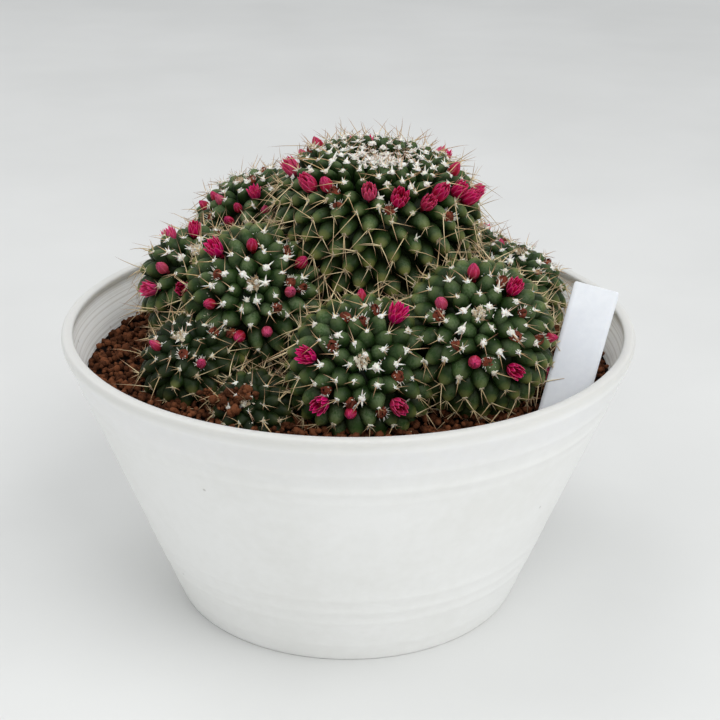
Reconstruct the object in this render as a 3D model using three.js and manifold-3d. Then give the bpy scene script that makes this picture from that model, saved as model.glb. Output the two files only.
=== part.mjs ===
// A clump-forming, flowering cactus in a wide white plastic pot, with its plant label.
// Millimetres, +Z up. The origin is the centre of the pot's foot, on the surface it stands on.
// Eleven heads grow side by side from one root: a tall one in the middle and its offsets round it.
// Each head is one solid covered with tubercles set in spirals, with spines on their tips.
// Every bloom is a solid of its own, and stands on the floor between the tubercles.

import * as THREE from 'three';
import { mergeVertices } from 'three/addons/utils/BufferGeometryUtils.js';
import { ConvexHull } from 'three/addons/math/ConvexHull.js';
import Module from 'manifold-3d';

const wasm = await Module();
wasm.setup();

// Pot
const rimRadius = 165;
const potHeight = 167;
const footRadius = 103.5;
const footRingWidth = 10;
const footRecess = 4;
const floorThickness = 3.5;
const wallThickness = 3;
const floorCorner = 4;
const lipWidth = 7.5;
const lipDepth = 8;
const lipUndercut = 2;
const wallTopRadius = 162.6;
const potSides = 44;
const drainHoleRadius = 6;
const drainHoleRing = 62;
const drainHoles = 4;
const drainHoleSides = 8;
const drainHoleCut = 20;
const edgeRound = 1.5;

// Soil
const soilLevel = 139.5;
const granuleSpacing = 10.5;
const granuleHeight = 1.6;
const edgeDrop = 0.8;
const edgeRoom = 0.7;

// Clearance between pieces that touch
const seatGap = 0.3;

// Plant
const goldenAngle = Math.PI * (3 - Math.sqrt(5));
const plantBottom = 128;
const dimpleWidth = 0.36;
const neckTaper = 0.22;
const growingReach = 0.75;
const packing = 0.87;
const youngRelief = 3;
const fullRelief = 8.5;
const reliefGrowth = 0.22;
const seatDip = 0.6;
const hiddenDepth = 3.5;
const hiddenShare = 7;
const envelopeSides = 14;
const envelopeRings = 5;
const envelopeReach = 1.45;
const footDepth = 12;
const chordShare = 0.014;
const globeStart = -5.9;
const globeEnd = 0.86 * Math.PI;

// Spines
const spineRadius = 0.6;
const youngSpineLength = 8;
const oldSpineLength = 18;
const spineShare = 0.3;
const spineTries = 6;
const spineSplay = 0.8;
const spineDroop = 0.3;
const spineRoom = 4;
const spineGap = 1.5;
const spineGrowth = 1.3;
const spineSamples = [0.1, 0.4, 0.7, 1, 1.1];
const barrenCrown = 7;

// Plant label
const labelWidth = 25;
const labelThickness = 0.8;
const labelAboveSoil = 72.5;
const labelPoint = 25;
const labelShoulder = 6;
const labelRoom = 3;
const labelFoot = new THREE.Vector3(115.5, -75, soilLevel);
const labelUp = new THREE.Vector3(0.25, 0.274, 0.926).normalize();
const labelAcross = new THREE.Vector3(0.968, -0.071, -0.24).normalize();

// The heads, from the front to the back. foot and tip are the ends of a head's axis, radius is its
// widest, over the tubercles' tips, cap the height of its dome and squareness how flat the dome is.
// dimple is the depth of its woolly crown, and young and spacing are the pitch of its tubercles in
// the crown and full-grown. growth, where it isn't growingReach, is how many radii down it is full.
// turn is how many degrees round the axis the first tubercle grows, where it isn't 0.
// blooms: [kind, degrees round the axis from the right, mm over the dome from the crown].
const heads = [
  {
    name: 'offset_low_left', foot: [-79, -28, 130], tip: [-93, -50, 175],
    radius: 32, cap: 27, squareness: 2.1, dimple: 0.5, young: 8.5, spacing: 11.5, blooms: [],
  },
  {
    name: 'offset_low_front', foot: [-46, -66, 130], tip: [-55, -92, 156],
    radius: 24, cap: 20, squareness: 2.1, dimple: 0.5, young: 8, spacing: 10.5, blooms: [],
  },
  {
    name: 'offset_front', foot: [8, -30, 138], tip: [7, -100, 182],
    radius: 42, cap: 36, squareness: 2.2, dimple: 1, young: 9.5, spacing: 12.5, turn: 59,
    blooms: [
      ['bud', 90, 64], ['open', 54, 37], ['open', 172, 32],
      ['open', 224, 34], ['bud', 257, 30.5], ['open', 309, 33],
    ],
  },
  {
    name: 'offset_right', foot: [70, -24, 147], tip: [68, -87, 204],
    radius: 44, cap: 41, squareness: 2.2, dimple: 1, young: 9.5, spacing: 12.5, turn: 255,
    blooms: [
      ['bud', 158, 22.5], ['open', 303, 38], ['open', 40, 28],
      ['bud', 263, 27], ['bud', 93, 30], ['open', 341, 93],
    ],
  },
  {
    name: 'offset_left_front', foot: [-50, 30, 155], tip: [-52, -40, 202],
    radius: 45, cap: 43, squareness: 2.2, dimple: 1, young: 9.5, spacing: 12.5, turn: 223,
    blooms: [
      ['bud', 93, 26.5], ['bud', 28, 33.5], ['bud', 348, 21.5], ['bud', 198, 31],
      ['bud', 283, 29.5], ['bud', 251, 33], ['open', 133, 37.5],
    ],
  },
  {
    name: 'offset_left', foot: [-90, 45, 140], tip: [-88, 6, 206],
    radius: 36, cap: 36, squareness: 2.2, dimple: 1, young: 9.5, spacing: 12.5, turn: 163,
    blooms: [
      ['open', 126, 41.5], ['open', 98, 18.5], ['bud', 203, 24],
      ['open', 256, 27], ['open', 211, 40],
    ],
  },
  {
    name: 'offset_right_back', foot: [86, 30, 132], tip: [101, 22, 201],
    radius: 36, cap: 34, squareness: 2.2, dimple: 1, young: 9.5, spacing: 12.5,
    blooms: [],
  },
  {
    name: 'offset_left_back', foot: [-30, 88, 130], tip: [-69, 80, 226],
    radius: 45, cap: 38, squareness: 2.2, dimple: 1, young: 9.5, spacing: 12.5, turn: 256,
    blooms: [
      ['bud', 191, 18], ['open', 296, 23], ['bud', 179, 28.5],
      ['bud', 251, 36], ['bud', 264, 27],
    ],
  },
  {
    name: 'offset_back', foot: [10, 85, 132], tip: [4, 108, 198],
    radius: 38, cap: 34, squareness: 2.2, dimple: 1, young: 9.5, spacing: 12.5,
    blooms: [['open', 70, 24]],
  },
  {
    name: 'offset_back_right', foot: [66, 82, 132], tip: [84, 98, 192],
    radius: 36, cap: 32, squareness: 2.2, dimple: 1, young: 9.5, spacing: 12.5,
    blooms: [['open', 60, 22]],
  },
  {
    name: 'main_head', foot: [8, 30, 126], tip: [20, 21, 264],
    radius: 60, cap: 43, squareness: 2.4, dimple: 9, young: 6.5, spacing: 13, growth: 1.15,
    turn: 242,
    blooms: [
      ['open', 183, 58], ['bud', 150, 60], ['open', 215, 56], ['bud', 228, 51],
      ['open', 260, 49], ['open', 280, 52], ['open', 300, 55], ['open', 313, 50.5],
      ['open', 333, 53], ['open', 341, 61], ['open', 1, 64], ['bud', 358, 44],
      ['open', 45, 60], ['open', 95, 62], ['bud', 143, 52],
    ],
  },
];

// The two kinds of bloom: mouth is the widest radius over the petals' tips, tube the radius of the
// stalk, and rise the height over the floor of the valley between the tubercles.
const bloomKinds = {
  open: { mouth: 5.5, tube: 2.2, rise: 16.5, petals: 5 },
  bud: { mouth: 3.8, tube: 1.9, rise: 14, petals: 4 },
};

// Shares of a bloom's rise, or of its mouth, at its waist, its throat and between its petals.
const bellWaist = 0.62;
const bellWidth = 0.8;
const throatDepth = 0.74;
const notchDepth = 0.16;
const petalNotch = 0.3;
const budWaist = 0.56;

// How far a bloom leans towards the crown, and the room that it keeps.
const bloomLean = 0.2;
const bloomRoom = 1.2;

// A repeatable number between 0 and 1 for piece i of series k.
function draw(i, k) {
  const wave = Math.sin(i * 12.9898 + k * 78.233) * 43758.5453;
  return wave - Math.floor(wave);
}

// A closed geometry as a solid, with its shared vertices merged and its faces pointing out.
function solidOf(geometry) {
  const plain = geometry.clone();
  plain.deleteAttribute('normal');
  plain.deleteAttribute('uv');
  const merged = mergeVertices(plain, 1e-4);
  const places = merged.getAttribute('position').array;
  const corners = [];
  let sixVolumes = 0;
  const [a, b, c] = [new THREE.Vector3(), new THREE.Vector3(), new THREE.Vector3()];
  for (let i = 0; i < merged.index.count; i += 3) {
    const [p, q, r] = merged.index.array.slice(i, i + 3);
    if (p === q || q === r || r === p) continue;
    corners.push(p, q, r);
    a.fromArray(places, 3 * p);
    b.fromArray(places, 3 * q);
    c.fromArray(places, 3 * r);
    sixVolumes += a.dot(b.cross(c));
  }
  if (sixVolumes < 0) corners.reverse();
  const mesh = new wasm.Mesh({
    numProp: 3,
    vertProperties: new Float32Array(places),
    triVerts: new Uint32Array(corners),
  });
  return new wasm.Manifold(mesh);
}

// The largest body of a solid as a geometry, without the scraps that cutting leaves.
function geometryOf(solid) {
  const larger = (best, body) => (body.volume() > best.volume() ? body : best);
  const largest = solid.decompose().reduce(larger);
  const { vertProperties, triVerts } = largest.getMesh();
  const geometry = new THREE.BufferGeometry();
  geometry.setAttribute('position', new THREE.BufferAttribute(vertProperties, 3));
  geometry.setIndex(new THREE.BufferAttribute(triVerts, 1));
  geometry.computeVertexNormals();
  return geometry;
}

// A ring of revolution about Z from a closed outline of [radius, height] points.
function turned(outline, sides) {
  const points = outline.map(([radius, height]) => new THREE.Vector2(radius, height));
  return new THREE.LatheGeometry(points, sides).rotateX(Math.PI / 2);
}

// The faces of a skin stretched over points that are spread on a sphere.
function skinFaces(spread) {
  const number = new Map(spread.map((point, i) => [point, i]));
  const hull = new ConvexHull().setFromPoints(spread);
  return hull.faces.map((face) => [0, 1, 2].map((k) => number.get(face.getEdge(k).head().point)));
}

// Pot

// The pot's section, from the middle under its floor round the foot, wall and lip to the inside.
function potOutline() {
  const innerFoot = footRadius - footRingWidth;
  const floorTop = footRecess + floorThickness;
  const lipBottom = potHeight - lipDepth;
  return [
    [0, footRecess],
    [innerFoot - edgeRound, footRecess],
    [innerFoot, 0],
    [footRadius - edgeRound, 0],
    [footRadius, edgeRound],
    [wallTopRadius, lipBottom - lipUndercut],
    [rimRadius - edgeRound / 3, lipBottom],
    [rimRadius, lipBottom + edgeRound],
    [rimRadius, potHeight - edgeRound],
    [rimRadius - edgeRound, potHeight],
    [rimRadius - lipWidth + edgeRound, potHeight],
    [rimRadius - lipWidth, potHeight - edgeRound],
    [wallRadius(lipBottom), lipBottom],
    [wallRadius(floorTop + floorCorner), floorTop + floorCorner],
    [wallRadius(floorTop + floorCorner) - floorCorner, floorTop],
    [0, floorTop],
  ];
}

// The inner radius of the pot's straight, leaning wall at a height.
function wallRadius(height) {
  const lean = (wallTopRadius - footRadius) / (potHeight - lipDepth - lipUndercut);
  return footRadius + lean * height - wallThickness;
}

// The pot, with its drain holes.
function makePot() {
  let pot = solidOf(turned(potOutline(), potSides));
  for (let i = 0; i < drainHoles; i += 1) {
    const around = (2 * Math.PI * (i + 0.5)) / drainHoles;
    const hole = new THREE.CylinderGeometry(
      drainHoleRadius, drainHoleRadius, drainHoleCut, drainHoleSides,
    );
    hole.rotateX(Math.PI / 2);
    hole.translate(drainHoleRing * Math.cos(around), drainHoleRing * Math.sin(around), footRecess);
    pot = pot.subtract(solidOf(hole));
  }
  return pot;
}

// Heads

// The axes of a head: up its length, to its right and to its back.
function axesOf(head) {
  const foot = new THREE.Vector3(...head.foot);
  const axis = new THREE.Vector3(...head.tip).sub(foot);
  const length = axis.length();
  axis.divideScalar(length);
  const right = new THREE.Vector3(0, 1, 0).cross(axis).normalize();
  const back = new THREE.Vector3().crossVectors(axis, right);
  return { foot, axis, right, back, length };
}

// The directions along the surface of a head at a normal: round the axis and up towards the crown.
function alongSurface(head, normal) {
  const side = new THREE.Vector3().crossVectors(head.axes.axis, normal).normalize();
  return { side, rise: new THREE.Vector3().crossVectors(normal, side) };
}

// A head's outline from the crown to the foot, as { s, r, z }: way over the surface, radius, height.
// The dome is a superellipse with a dimple in its crown, and below it the neck draws in.
function outlineOf(head) {
  const { length } = head.axes;
  const power = 2 / head.squareness;
  const [domeSteps, neckSteps] = [90, 30];
  const line = [];
  for (let i = 0; i <= domeSteps; i += 1) {
    const turn = (i / domeSteps) * (Math.PI / 2);
    const r = head.radius * Math.sin(turn) ** power;
    const crown = head.dimple * Math.exp(-((r / (dimpleWidth * head.radius)) ** 2));
    line.push({ r, z: length - head.cap * (1 - Math.cos(turn) ** power) - crown });
  }
  for (let i = 1; i <= neckSteps; i += 1) {
    const down = i / neckSteps;
    line.push({
      r: head.radius * (1 - neckTaper * down ** 1.5),
      z: (length - head.cap) * (1 - down),
    });
  }
  line[0].s = 0;
  for (let i = 1; i < line.length; i += 1) {
    line[i].s = line[i - 1].s + Math.hypot(line[i].r - line[i - 1].r, line[i].z - line[i - 1].z);
  }
  return line;
}

// The outline at way s, with the outward normal there.
function outlineAt(line, s) {
  let i = 1;
  while (i < line.length - 1 && line[i].s < s) i += 1;
  const [from, to] = [line[i - 1], line[i]];
  const part = Math.min((s - from.s) / (to.s - from.s), 1);
  const [dr, dz] = [(to.r - from.r) / (to.s - from.s), (to.z - from.z) / (to.s - from.s)];
  return {
    r: from.r + (to.r - from.r) * part,
    z: from.z + (to.z - from.z) * part,
    nr: -dz,
    nz: dr,
  };
}

// A point of a head at an angle round its axis and way s, sunk below the envelope by depth.
function placeOn(head, around, s, depth) {
  const { foot, axis, right, back } = head.axes;
  const { r, z, nr, nz } = outlineAt(head.line, s);
  const outward = right.clone().multiplyScalar(Math.cos(around));
  outward.addScaledVector(back, Math.sin(around));
  const normal = outward.clone().multiplyScalar(nr).addScaledVector(axis, nz).normalize();
  const point = foot.clone().addScaledVector(axis, z).addScaledVector(outward, r);
  point.addScaledVector(normal, -depth);
  return { point, normal };
}

// The height of the tubercles at way s: low in the crown, full size down the sides.
function reliefAt(s) {
  return Math.min(fullRelief, youngRelief + reliefGrowth * s);
}

// The pitch of the tubercles at way s.
function spacingAt(head, s) {
  const grown = Math.min(s / ((head.growth ?? growingReach) * head.radius), 1);
  return head.young + (head.spacing - head.young) * grown;
}

// Tubercles are set a golden angle apart, each as far down the outline as the area it takes up.
// polar is its place on a globe that the surface is spread on with its angles kept, where the faces
// between the tips are found: the logarithm of tan(polar / 2) grows by the way over the radius.
function tuberclesOf(head) {
  const { line } = head;
  const end = line[line.length - 1].s;
  const step = 0.25;
  const tubercles = [];
  let count = 0.5;
  let grown = 0;
  let stretch = globeStart;
  for (let s = step; s < end; s += step) {
    const { r } = outlineAt(line, s);
    count += (2 * Math.PI * r * step) / (packing * spacingAt(head, s) ** 2);
    stretch += step / Math.max(r, 0.5 * step);
    if (count >= grown + 1) {
      const around = grown * goldenAngle + ((head.turn ?? 0) * Math.PI) / 180;
      const hidden = isHidden(head, placeOn(head, around, s, 0).point);
      if (!hidden || grown % hiddenShare === 0) {
        tubercles.push({ i: grown, s, around, hidden, polar: 2 * Math.atan(Math.exp(stretch)) });
      }
      grown += 1;
    }
  }
  return tubercles;
}

// Whether a point of a head lies well inside its neighbours or the soil. Few tubercles grow there.
function isHidden(head, point) {
  if (point.z < soilLevel - hiddenDepth) return true;
  return heads.some((other) => other !== head && inside(other, point, -hiddenDepth));
}

// The tips of a head's tubercles. The ones that a bloom takes the place of stay low.
function tipsOf(head, seats) {
  return head.tubercles.map(({ i, s, around }) => (
    placeOn(head, around, s, seats.has(i) ? reliefAt(s) + seatDip : 0)
  ));
}

// The valleys: a point on the floor amid each three tubercles that stand in sight.
function valleysOf(head, faces, places) {
  const valleys = new Map();
  faces.forEach((face, f) => {
    if (face.some((p) => head.tubercles[p].hidden)) return;
    const floor = new THREE.Vector3();
    face.forEach((p) => {
      const { s, around } = head.tubercles[p];
      floor.addScaledVector(placeOn(head, around, s, reliefAt(s)).point, 1 / 3);
    });
    valleys.set(f, places.length);
    places.push(floor);
  });
  return valleys;
}

// The spines: on a tubercle's tip, a three-sided needle whose foot takes the tip's place.
function raiseSpines(head, tips, barren, stances, places, corners) {
  const spines = new Map();
  head.tubercles.forEach((tubercle, p) => {
    const end = barren.has(p) ? null : spineEnd(head, tubercle, tips[p], stances);
    if (!end) return;
    const { point, normal } = tips[p];
    const { side, rise } = alongSurface(head, normal);
    const first = places.length;
    for (let k = 0; k < 3; k += 1) {
      const angle = (2 * Math.PI * k) / 3;
      const corner = point.clone().addScaledVector(normal, -0.5 * spineRadius);
      corner.addScaledVector(side, spineRadius * Math.cos(angle));
      places.push(corner.addScaledVector(rise, spineRadius * Math.sin(angle)));
      corners.push(first + k, first + ((k + 1) % 3), first + 3);
    }
    places.push(end);
    spines.set(p, { first, side, rise });
  });
  return spines;
}

// One side of a pyramid, from its tip, or the foot of its spine, to two valleys. Round a spine's
// foot, each valley goes to the nearest of the three corners.
function addSide(p, from, to, spines, places, corners) {
  if (!spines.has(p)) {
    corners.push(p, from, to);
    return;
  }
  const { first, side, rise } = spines.get(p);
  const thirdsTo = (v) => {
    const away = places[v].clone().sub(places[p]);
    return Math.atan2(away.dot(rise), away.dot(side)) / ((2 * Math.PI) / 3);
  };
  const [start, end] = [thirdsTo(from), thirdsTo(to)];
  const [near, far] = [(Math.round(start) + 3) % 3, (Math.round(end) + 3) % 3];
  const stride = (end - start + 3) % 3 < 1.5 ? 1 : 2;
  corners.push(first + near, from, to);
  for (let k = near; k !== far; k = (k + stride) % 3) {
    corners.push(first + k, to, first + ((k + stride) % 3));
  }
}

// A head's skin: every tubercle is a pyramid whose sides fall from its tip to the valleys round it.
function skinOf(head, seats, stances) {
  const { tubercles } = head;
  const squeeze = Math.min(1, globeEnd / tubercles[tubercles.length - 1].polar);
  const faces = skinFaces(tubercles.map(({ around, polar }) => (
    new THREE.Vector3().setFromSphericalCoords(1, polar * squeeze, around)
  )));
  const tips = tipsOf(head, seats);
  const places = tips.map(({ point }) => point);
  const corners = [];
  const valleys = valleysOf(head, faces, places);
  const besides = new Map();
  const barren = new Set();
  tubercles.forEach(({ i }, p) => seats.has(i) && barren.add(p));
  faces.forEach((face, f) => face.forEach((p, k) => {
    besides.set(`${p},${face[(k + 1) % 3]}`, f);
    if (!valleys.has(f)) barren.add(p);
  }));
  const spines = raiseSpines(head, tips, barren, stances, places, corners);
  faces.forEach((face, f) => {
    if (!valleys.has(f)) {
      corners.push(...face);
      return;
    }
    face.forEach((p, k) => {
      const q = face[(k + 1) % 3];
      const neighbour = besides.get(`${q},${p}`);
      if (valleys.has(neighbour)) {
        addSide(p, valleys.get(neighbour), valleys.get(f), spines, places, corners);
      } else {
        corners.push(p, q, valleys.get(f));
      }
    });
  });
  const geometry = new THREE.BufferGeometry().setFromPoints(places);
  geometry.setIndex(corners);
  return solidOf(geometry);
}

// The smooth body that just holds a head, swollen by a clearance.
function envelopeOf(head, clearance) {
  const { foot, axis, right, back } = head.axes;
  const { line } = head;
  const roundness = 1 / Math.cos(Math.PI / envelopeSides);
  const swell = clearance + chordShare * head.radius;
  const points = [[0, line[0].z + head.dimple + swell]];
  const end = line[line.length - 1];
  const domeEnd = envelopeReach * head.radius;
  const ways = Array.from({ length: envelopeRings }, (_, i) => ((i + 1) / envelopeRings) * domeEnd);
  for (const s of [...ways, (domeEnd + end.s) / 2]) {
    const { r, z, nr, nz } = outlineAt(line, s);
    points.push([(r + nr * swell) * roundness, z + nz * swell]);
  }
  points.push([(end.r + swell) * roundness, end.z - footDepth], [0, end.z - footDepth]);
  const geometry = turned(points, envelopeSides);
  geometry.applyMatrix4(new THREE.Matrix4().makeBasis(right, back, axis).setPosition(foot));
  return solidOf(geometry);
}

// Whether a point lies inside a head's envelope swollen by a margin.
function inside(head, point, margin) {
  const { foot, axis, length } = head.axes;
  const from = point.clone().sub(foot);
  const height = from.dot(axis);
  const radius = from.addScaledVector(axis, -height).length();
  const domeStart = length - head.cap;
  if (height > domeStart) {
    const across = radius / (head.radius + margin);
    const up = (height - domeStart) / (head.cap + margin);
    return across ** head.squareness + up ** head.squareness < 1;
  }
  return radius < head.radius + margin;
}

// Blooms

// The tubercle that makes way for a bloom: the grown one nearest to the place given for it.
function seatOf(head, [, degrees, s]) {
  const { point } = placeOn(head, (degrees * Math.PI) / 180, s, 0);
  const distance = (tubercle) => placeOn(head, tubercle.around, tubercle.s, 0).point.distanceTo(point);
  return head.tubercles.filter((tubercle) => !tubercle.hidden)
    .reduce((best, tubercle) => (distance(tubercle) < distance(best) ? tubercle : best));
}

// A bloom's stance: its foot lies just over the valley floor, and it leans towards the crown.
function stanceOf(head, bloom) {
  const { around, s } = seatOf(head, bloom);
  const { point, normal } = placeOn(head, around, s, reliefAt(s) - seatGap);
  const up = normal.clone().addScaledVector(head.axes.axis, bloomLean).normalize();
  const turn = new THREE.Quaternion().setFromUnitVectors(new THREE.Vector3(0, 0, 1), up);
  return { head, kind: bloomKinds[bloom[0]], root: point, up, turn };
}

// An open bloom: a tube that widens to a star of pointed petals round a hollow throat.
function openBloom({ mouth, tube, rise: height, petals }) {
  return star(petals, [
    [tube, tube, 0, 0],
    [bellWidth * mouth, (bellWidth - 0.2 * petalNotch) * mouth, bellWaist * height, bellWaist * height],
    [mouth, (1 - petalNotch) * mouth, height, (1 - notchDepth) * height],
  ], 0, throatDepth * height);
}

// A bud: petals wrapped to a point, on a narrow tube.
function closedBloom({ mouth, tube, rise: height, petals }) {
  return star(petals, [
    [tube, tube, 0, 0],
    [mouth, (1 - 0.5 * petalNotch) * mouth, budWaist * height, bellWaist * height],
  ], 0, height);
}

// A closed solid of rings [radius at a petal, radius between petals, height of each], with a
// middle point below the first ring and above the last.
function star(petals, rings, bottom, top) {
  const around = 2 * petals;
  const places = [];
  for (const [outer, notch, outerHeight, notchHeight] of rings) {
    for (let k = 0; k < around; k += 1) {
      const angle = (Math.PI * k) / petals;
      const [radius, height] = k % 2 === 0 ? [outer, outerHeight] : [notch, notchHeight];
      places.push(radius * Math.cos(angle), radius * Math.sin(angle), height);
    }
  }
  places.push(0, 0, bottom, 0, 0, top);
  const under = rings.length * around;
  const over = under + 1;
  const lastRing = (rings.length - 1) * around;
  const corners = [];
  for (let k = 0; k < around; k += 1) {
    const next = (k + 1) % around;
    corners.push(under, next, k, over, lastRing + k, lastRing + next);
    for (let ring = 0; ring < lastRing; ring += around) {
      corners.push(ring + k, ring + next, ring + around + next);
      corners.push(ring + k, ring + around + next, ring + around + k);
    }
  }
  const geometry = new THREE.BufferGeometry();
  geometry.setAttribute('position', new THREE.Float32BufferAttribute(places, 3));
  geometry.setIndex(corners);
  return geometry;
}

// The room that a bloom takes where it passes close to a tubercle or leans over another head.
function roomOf({ kind, root, turn }) {
  const points = [
    [0, -seatGap],
    [kind.tube + seatGap, -seatGap],
    [kind.mouth + bloomRoom, 0.5 * kind.rise],
    [kind.mouth + bloomRoom, bloomRoom * kind.rise],
    [0, bloomRoom * kind.rise],
  ];
  const geometry = turned(points, 8);
  geometry.applyQuaternion(turn);
  geometry.translate(root.x, root.y, root.z);
  return solidOf(geometry);
}

// Whether a point is in the way of a bloom.
function nearBloom({ kind, root, up }, point) {
  const from = point.clone().sub(root);
  const height = from.dot(up);
  const radius = from.addScaledVector(up, -height).length();
  return height > -bloomRoom && height < bloomRoom * kind.rise && radius < kind.mouth + bloomRoom;
}

// Spines

// The free end of a tubercle's spine. Spines grow on about one tubercle in three, short near the
// crown and long down the sides. Each takes the first of some directions in which it passes clear
// of the blooms, the other heads, the label and the rim, and without one there is no spine.
function spineEnd(head, { i, s }, { point, normal }, stances) {
  if (s < barrenCrown || draw(i, 1) > spineShare) return null;
  const old = Math.min(s / (spineGrowth * head.radius), 1);
  const length = youngSpineLength + (oldSpineLength - youngSpineLength) * old * draw(i, 2);
  const { side, rise } = alongSurface(head, normal);
  const others = heads.filter((other) => other !== head);
  for (let attempt = 0; attempt < spineTries; attempt += 1) {
    const swing = attempt * goldenAngle + 2 * Math.PI * draw(i, 3);
    const direction = normal.clone();
    direction.addScaledVector(side, spineSplay * Math.cos(swing));
    direction.addScaledVector(rise, spineSplay * Math.sin(swing) - spineDroop * old).normalize();
    const along = (part) => point.clone().addScaledVector(direction, part * length);
    const clear = spineSamples.map(along).every((spot) => (
      spot.z > soilLevel + spineRoom
      && Math.hypot(spot.x, spot.y) < rimRadius - lipWidth - spineRoom
      && !others.some((other) => inside(other, spot, spineGap))
      && !stances.some((stance) => nearBloom(stance, spot))
      && !nearLabel(spot)
    ));
    if (clear) return along(1);
  }
  return null;
}

// Label

// The label's outline: a plain strip with a point that is pushed into the soil.
function labelGeometry(clearance) {
  const half = labelWidth / 2 + clearance;
  const shape = new THREE.Shape();
  shape.moveTo(0, -labelPoint - clearance);
  shape.lineTo(half, -labelShoulder);
  shape.lineTo(half, labelAboveSoil);
  shape.lineTo(-half, labelAboveSoil);
  shape.lineTo(-half, -labelShoulder);
  shape.closePath();
  const depth = labelThickness + 2 * clearance;
  const geometry = new THREE.ExtrudeGeometry(shape, { depth, bevelEnabled: false });
  geometry.translate(0, 0, -depth / 2);
  const facing = new THREE.Vector3().crossVectors(labelAcross, labelUp);
  const stand = new THREE.Matrix4().makeBasis(labelAcross, labelUp, facing).setPosition(labelFoot);
  return geometry.applyMatrix4(stand);
}

// Whether a point is close to the label.
function nearLabel(point) {
  const from = point.clone().sub(labelFoot);
  const facing = new THREE.Vector3().crossVectors(labelAcross, labelUp);
  return Math.abs(from.dot(facing)) < labelRoom
    && Math.abs(from.dot(labelAcross)) < labelWidth / 2 + labelRoom;
}

// Soil

// The soil fills the pot to its level. Its top is granules: points set a golden angle apart, each
// raised by its own draw. The points are spread on a globe with the top round one pole and the
// bottom round the other, where the faces between them are found.
function makeSoil() {
  const [topPolar, wallPolar, bottomPolar] = [1.4, 2.2, 2.5];
  const bottom = footRecess + floorThickness + seatGap;
  const edge = soilLevel - edgeDrop;
  const topRadius = wallRadius(edge) - seatGap;
  const places = [];
  const spread = [];
  const put = (radius, angle, height, polar) => {
    places.push(radius * Math.cos(angle), radius * Math.sin(angle), height);
    spread.push(new THREE.Vector3(
      Math.sin(polar) * Math.cos(angle),
      Math.sin(polar) * Math.sin(angle),
      Math.cos(polar),
    ));
  };
  const inner = topRadius - edgeRoom * granuleSpacing;
  const granules = Math.floor(Math.PI * inner ** 2 / (packing * granuleSpacing ** 2));
  for (let i = 0; i < granules; i += 1) {
    const radius = inner * Math.sqrt((i + 0.5) / granules);
    const height = soilLevel + granuleHeight * (2 * draw(i, 4) - 1);
    put(radius, i * goldenAngle, height, (radius / topRadius) * topPolar);
  }
  for (let i = 0; i < potSides; i += 1) {
    const angle = (2 * Math.PI * i) / potSides;
    put(topRadius, angle, edge, topPolar);
    put(wallRadius(bottom + floorCorner) - seatGap, angle, bottom + floorCorner, wallPolar);
    put(wallRadius(bottom + floorCorner) - floorCorner - 1, angle, bottom, bottomPolar);
  }
  put(0, 0, bottom, Math.PI);
  const geometry = new THREE.BufferGeometry();
  geometry.setAttribute('position', new THREE.Float32BufferAttribute(places, 3));
  geometry.setIndex(skinFaces(spread).flat());
  return solidOf(geometry);
}

// Assembly

const green = { color: 0x35523a, roughness: 0.6, metalness: 0 };
const colours = {
  pot: { color: 0xe9e9e6, roughness: 0.4, metalness: 0 },
  soil: { color: 0x5a3527, roughness: 0.95, metalness: 0 },
  plant_label: { color: 0xe8ebf2, roughness: 0.35, metalness: 0 },
  open: { color: 0xb5123f, roughness: 0.55, metalness: 0 },
  bud: { color: 0xc2404f, roughness: 0.55, metalness: 0 },
};

for (const head of heads) {
  head.axes = axesOf(head);
  head.line = outlineOf(head);
}
for (const head of heads) head.tubercles = tuberclesOf(head);

const group = new THREE.Group();
function addPiece(name, solid, finish) {
  const mesh = new THREE.Mesh(geometryOf(solid), new THREE.MeshStandardMaterial(finish));
  mesh.name = name;
  group.add(mesh);
}

const stances = heads.flatMap((head) => head.blooms.map((bloom) => stanceOf(head, bloom)));

addPiece('pot', makePot(), colours.pot);

let soil = makeSoil().subtract(solidOf(labelGeometry(seatGap)));
let taken = null;
for (const head of heads) {
  const seats = new Set(head.blooms.map((bloom) => seatOf(head, bloom).i));
  let body = skinOf(head, seats, stances).trimByPlane([0, 0, 1], plantBottom + seatGap);
  body = body.subtract(wasm.Manifold.union(stances.map(roomOf)));
  if (taken) body = body.subtract(taken);
  addPiece(head.name, body, green);
  const envelope = envelopeOf(head, seatGap);
  taken = taken ? taken.add(envelope) : envelope;
}
soil = soil.subtract(taken.trimByPlane([0, 0, 1], plantBottom));
addPiece('soil', soil, colours.soil);
addPiece('plant_label', solidOf(labelGeometry(0)), colours.plant_label);

for (const head of heads) {
  head.blooms.forEach((bloom, i) => {
    const { kind, root, turn } = stanceOf(head, bloom);
    const shape = bloom[0] === 'open' ? openBloom(kind) : closedBloom(kind);
    shape.applyQuaternion(turn);
    shape.translate(root.x, root.y, root.z);
    addPiece(`${bloom[0]}_bloom_${head.name}_${i + 1}`, solidOf(shape), colours[bloom[0]]);
  });
}

export default group;
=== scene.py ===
"""A clump-forming, flowering cactus in a wide white plastic pot, with a plain stick-in label.

Metres, +Z up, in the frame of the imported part. The sections follow the way it is put together: pot,
heads, soil, wool, spines, blooms, dried blooms, label, and then the paper it stands on, the light and
the camera. Sizes are given in millimetres, and make_piece turns them into metres.
"""

import math

import bpy
import numpy as np
from mathutils import Matrix, Vector


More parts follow.
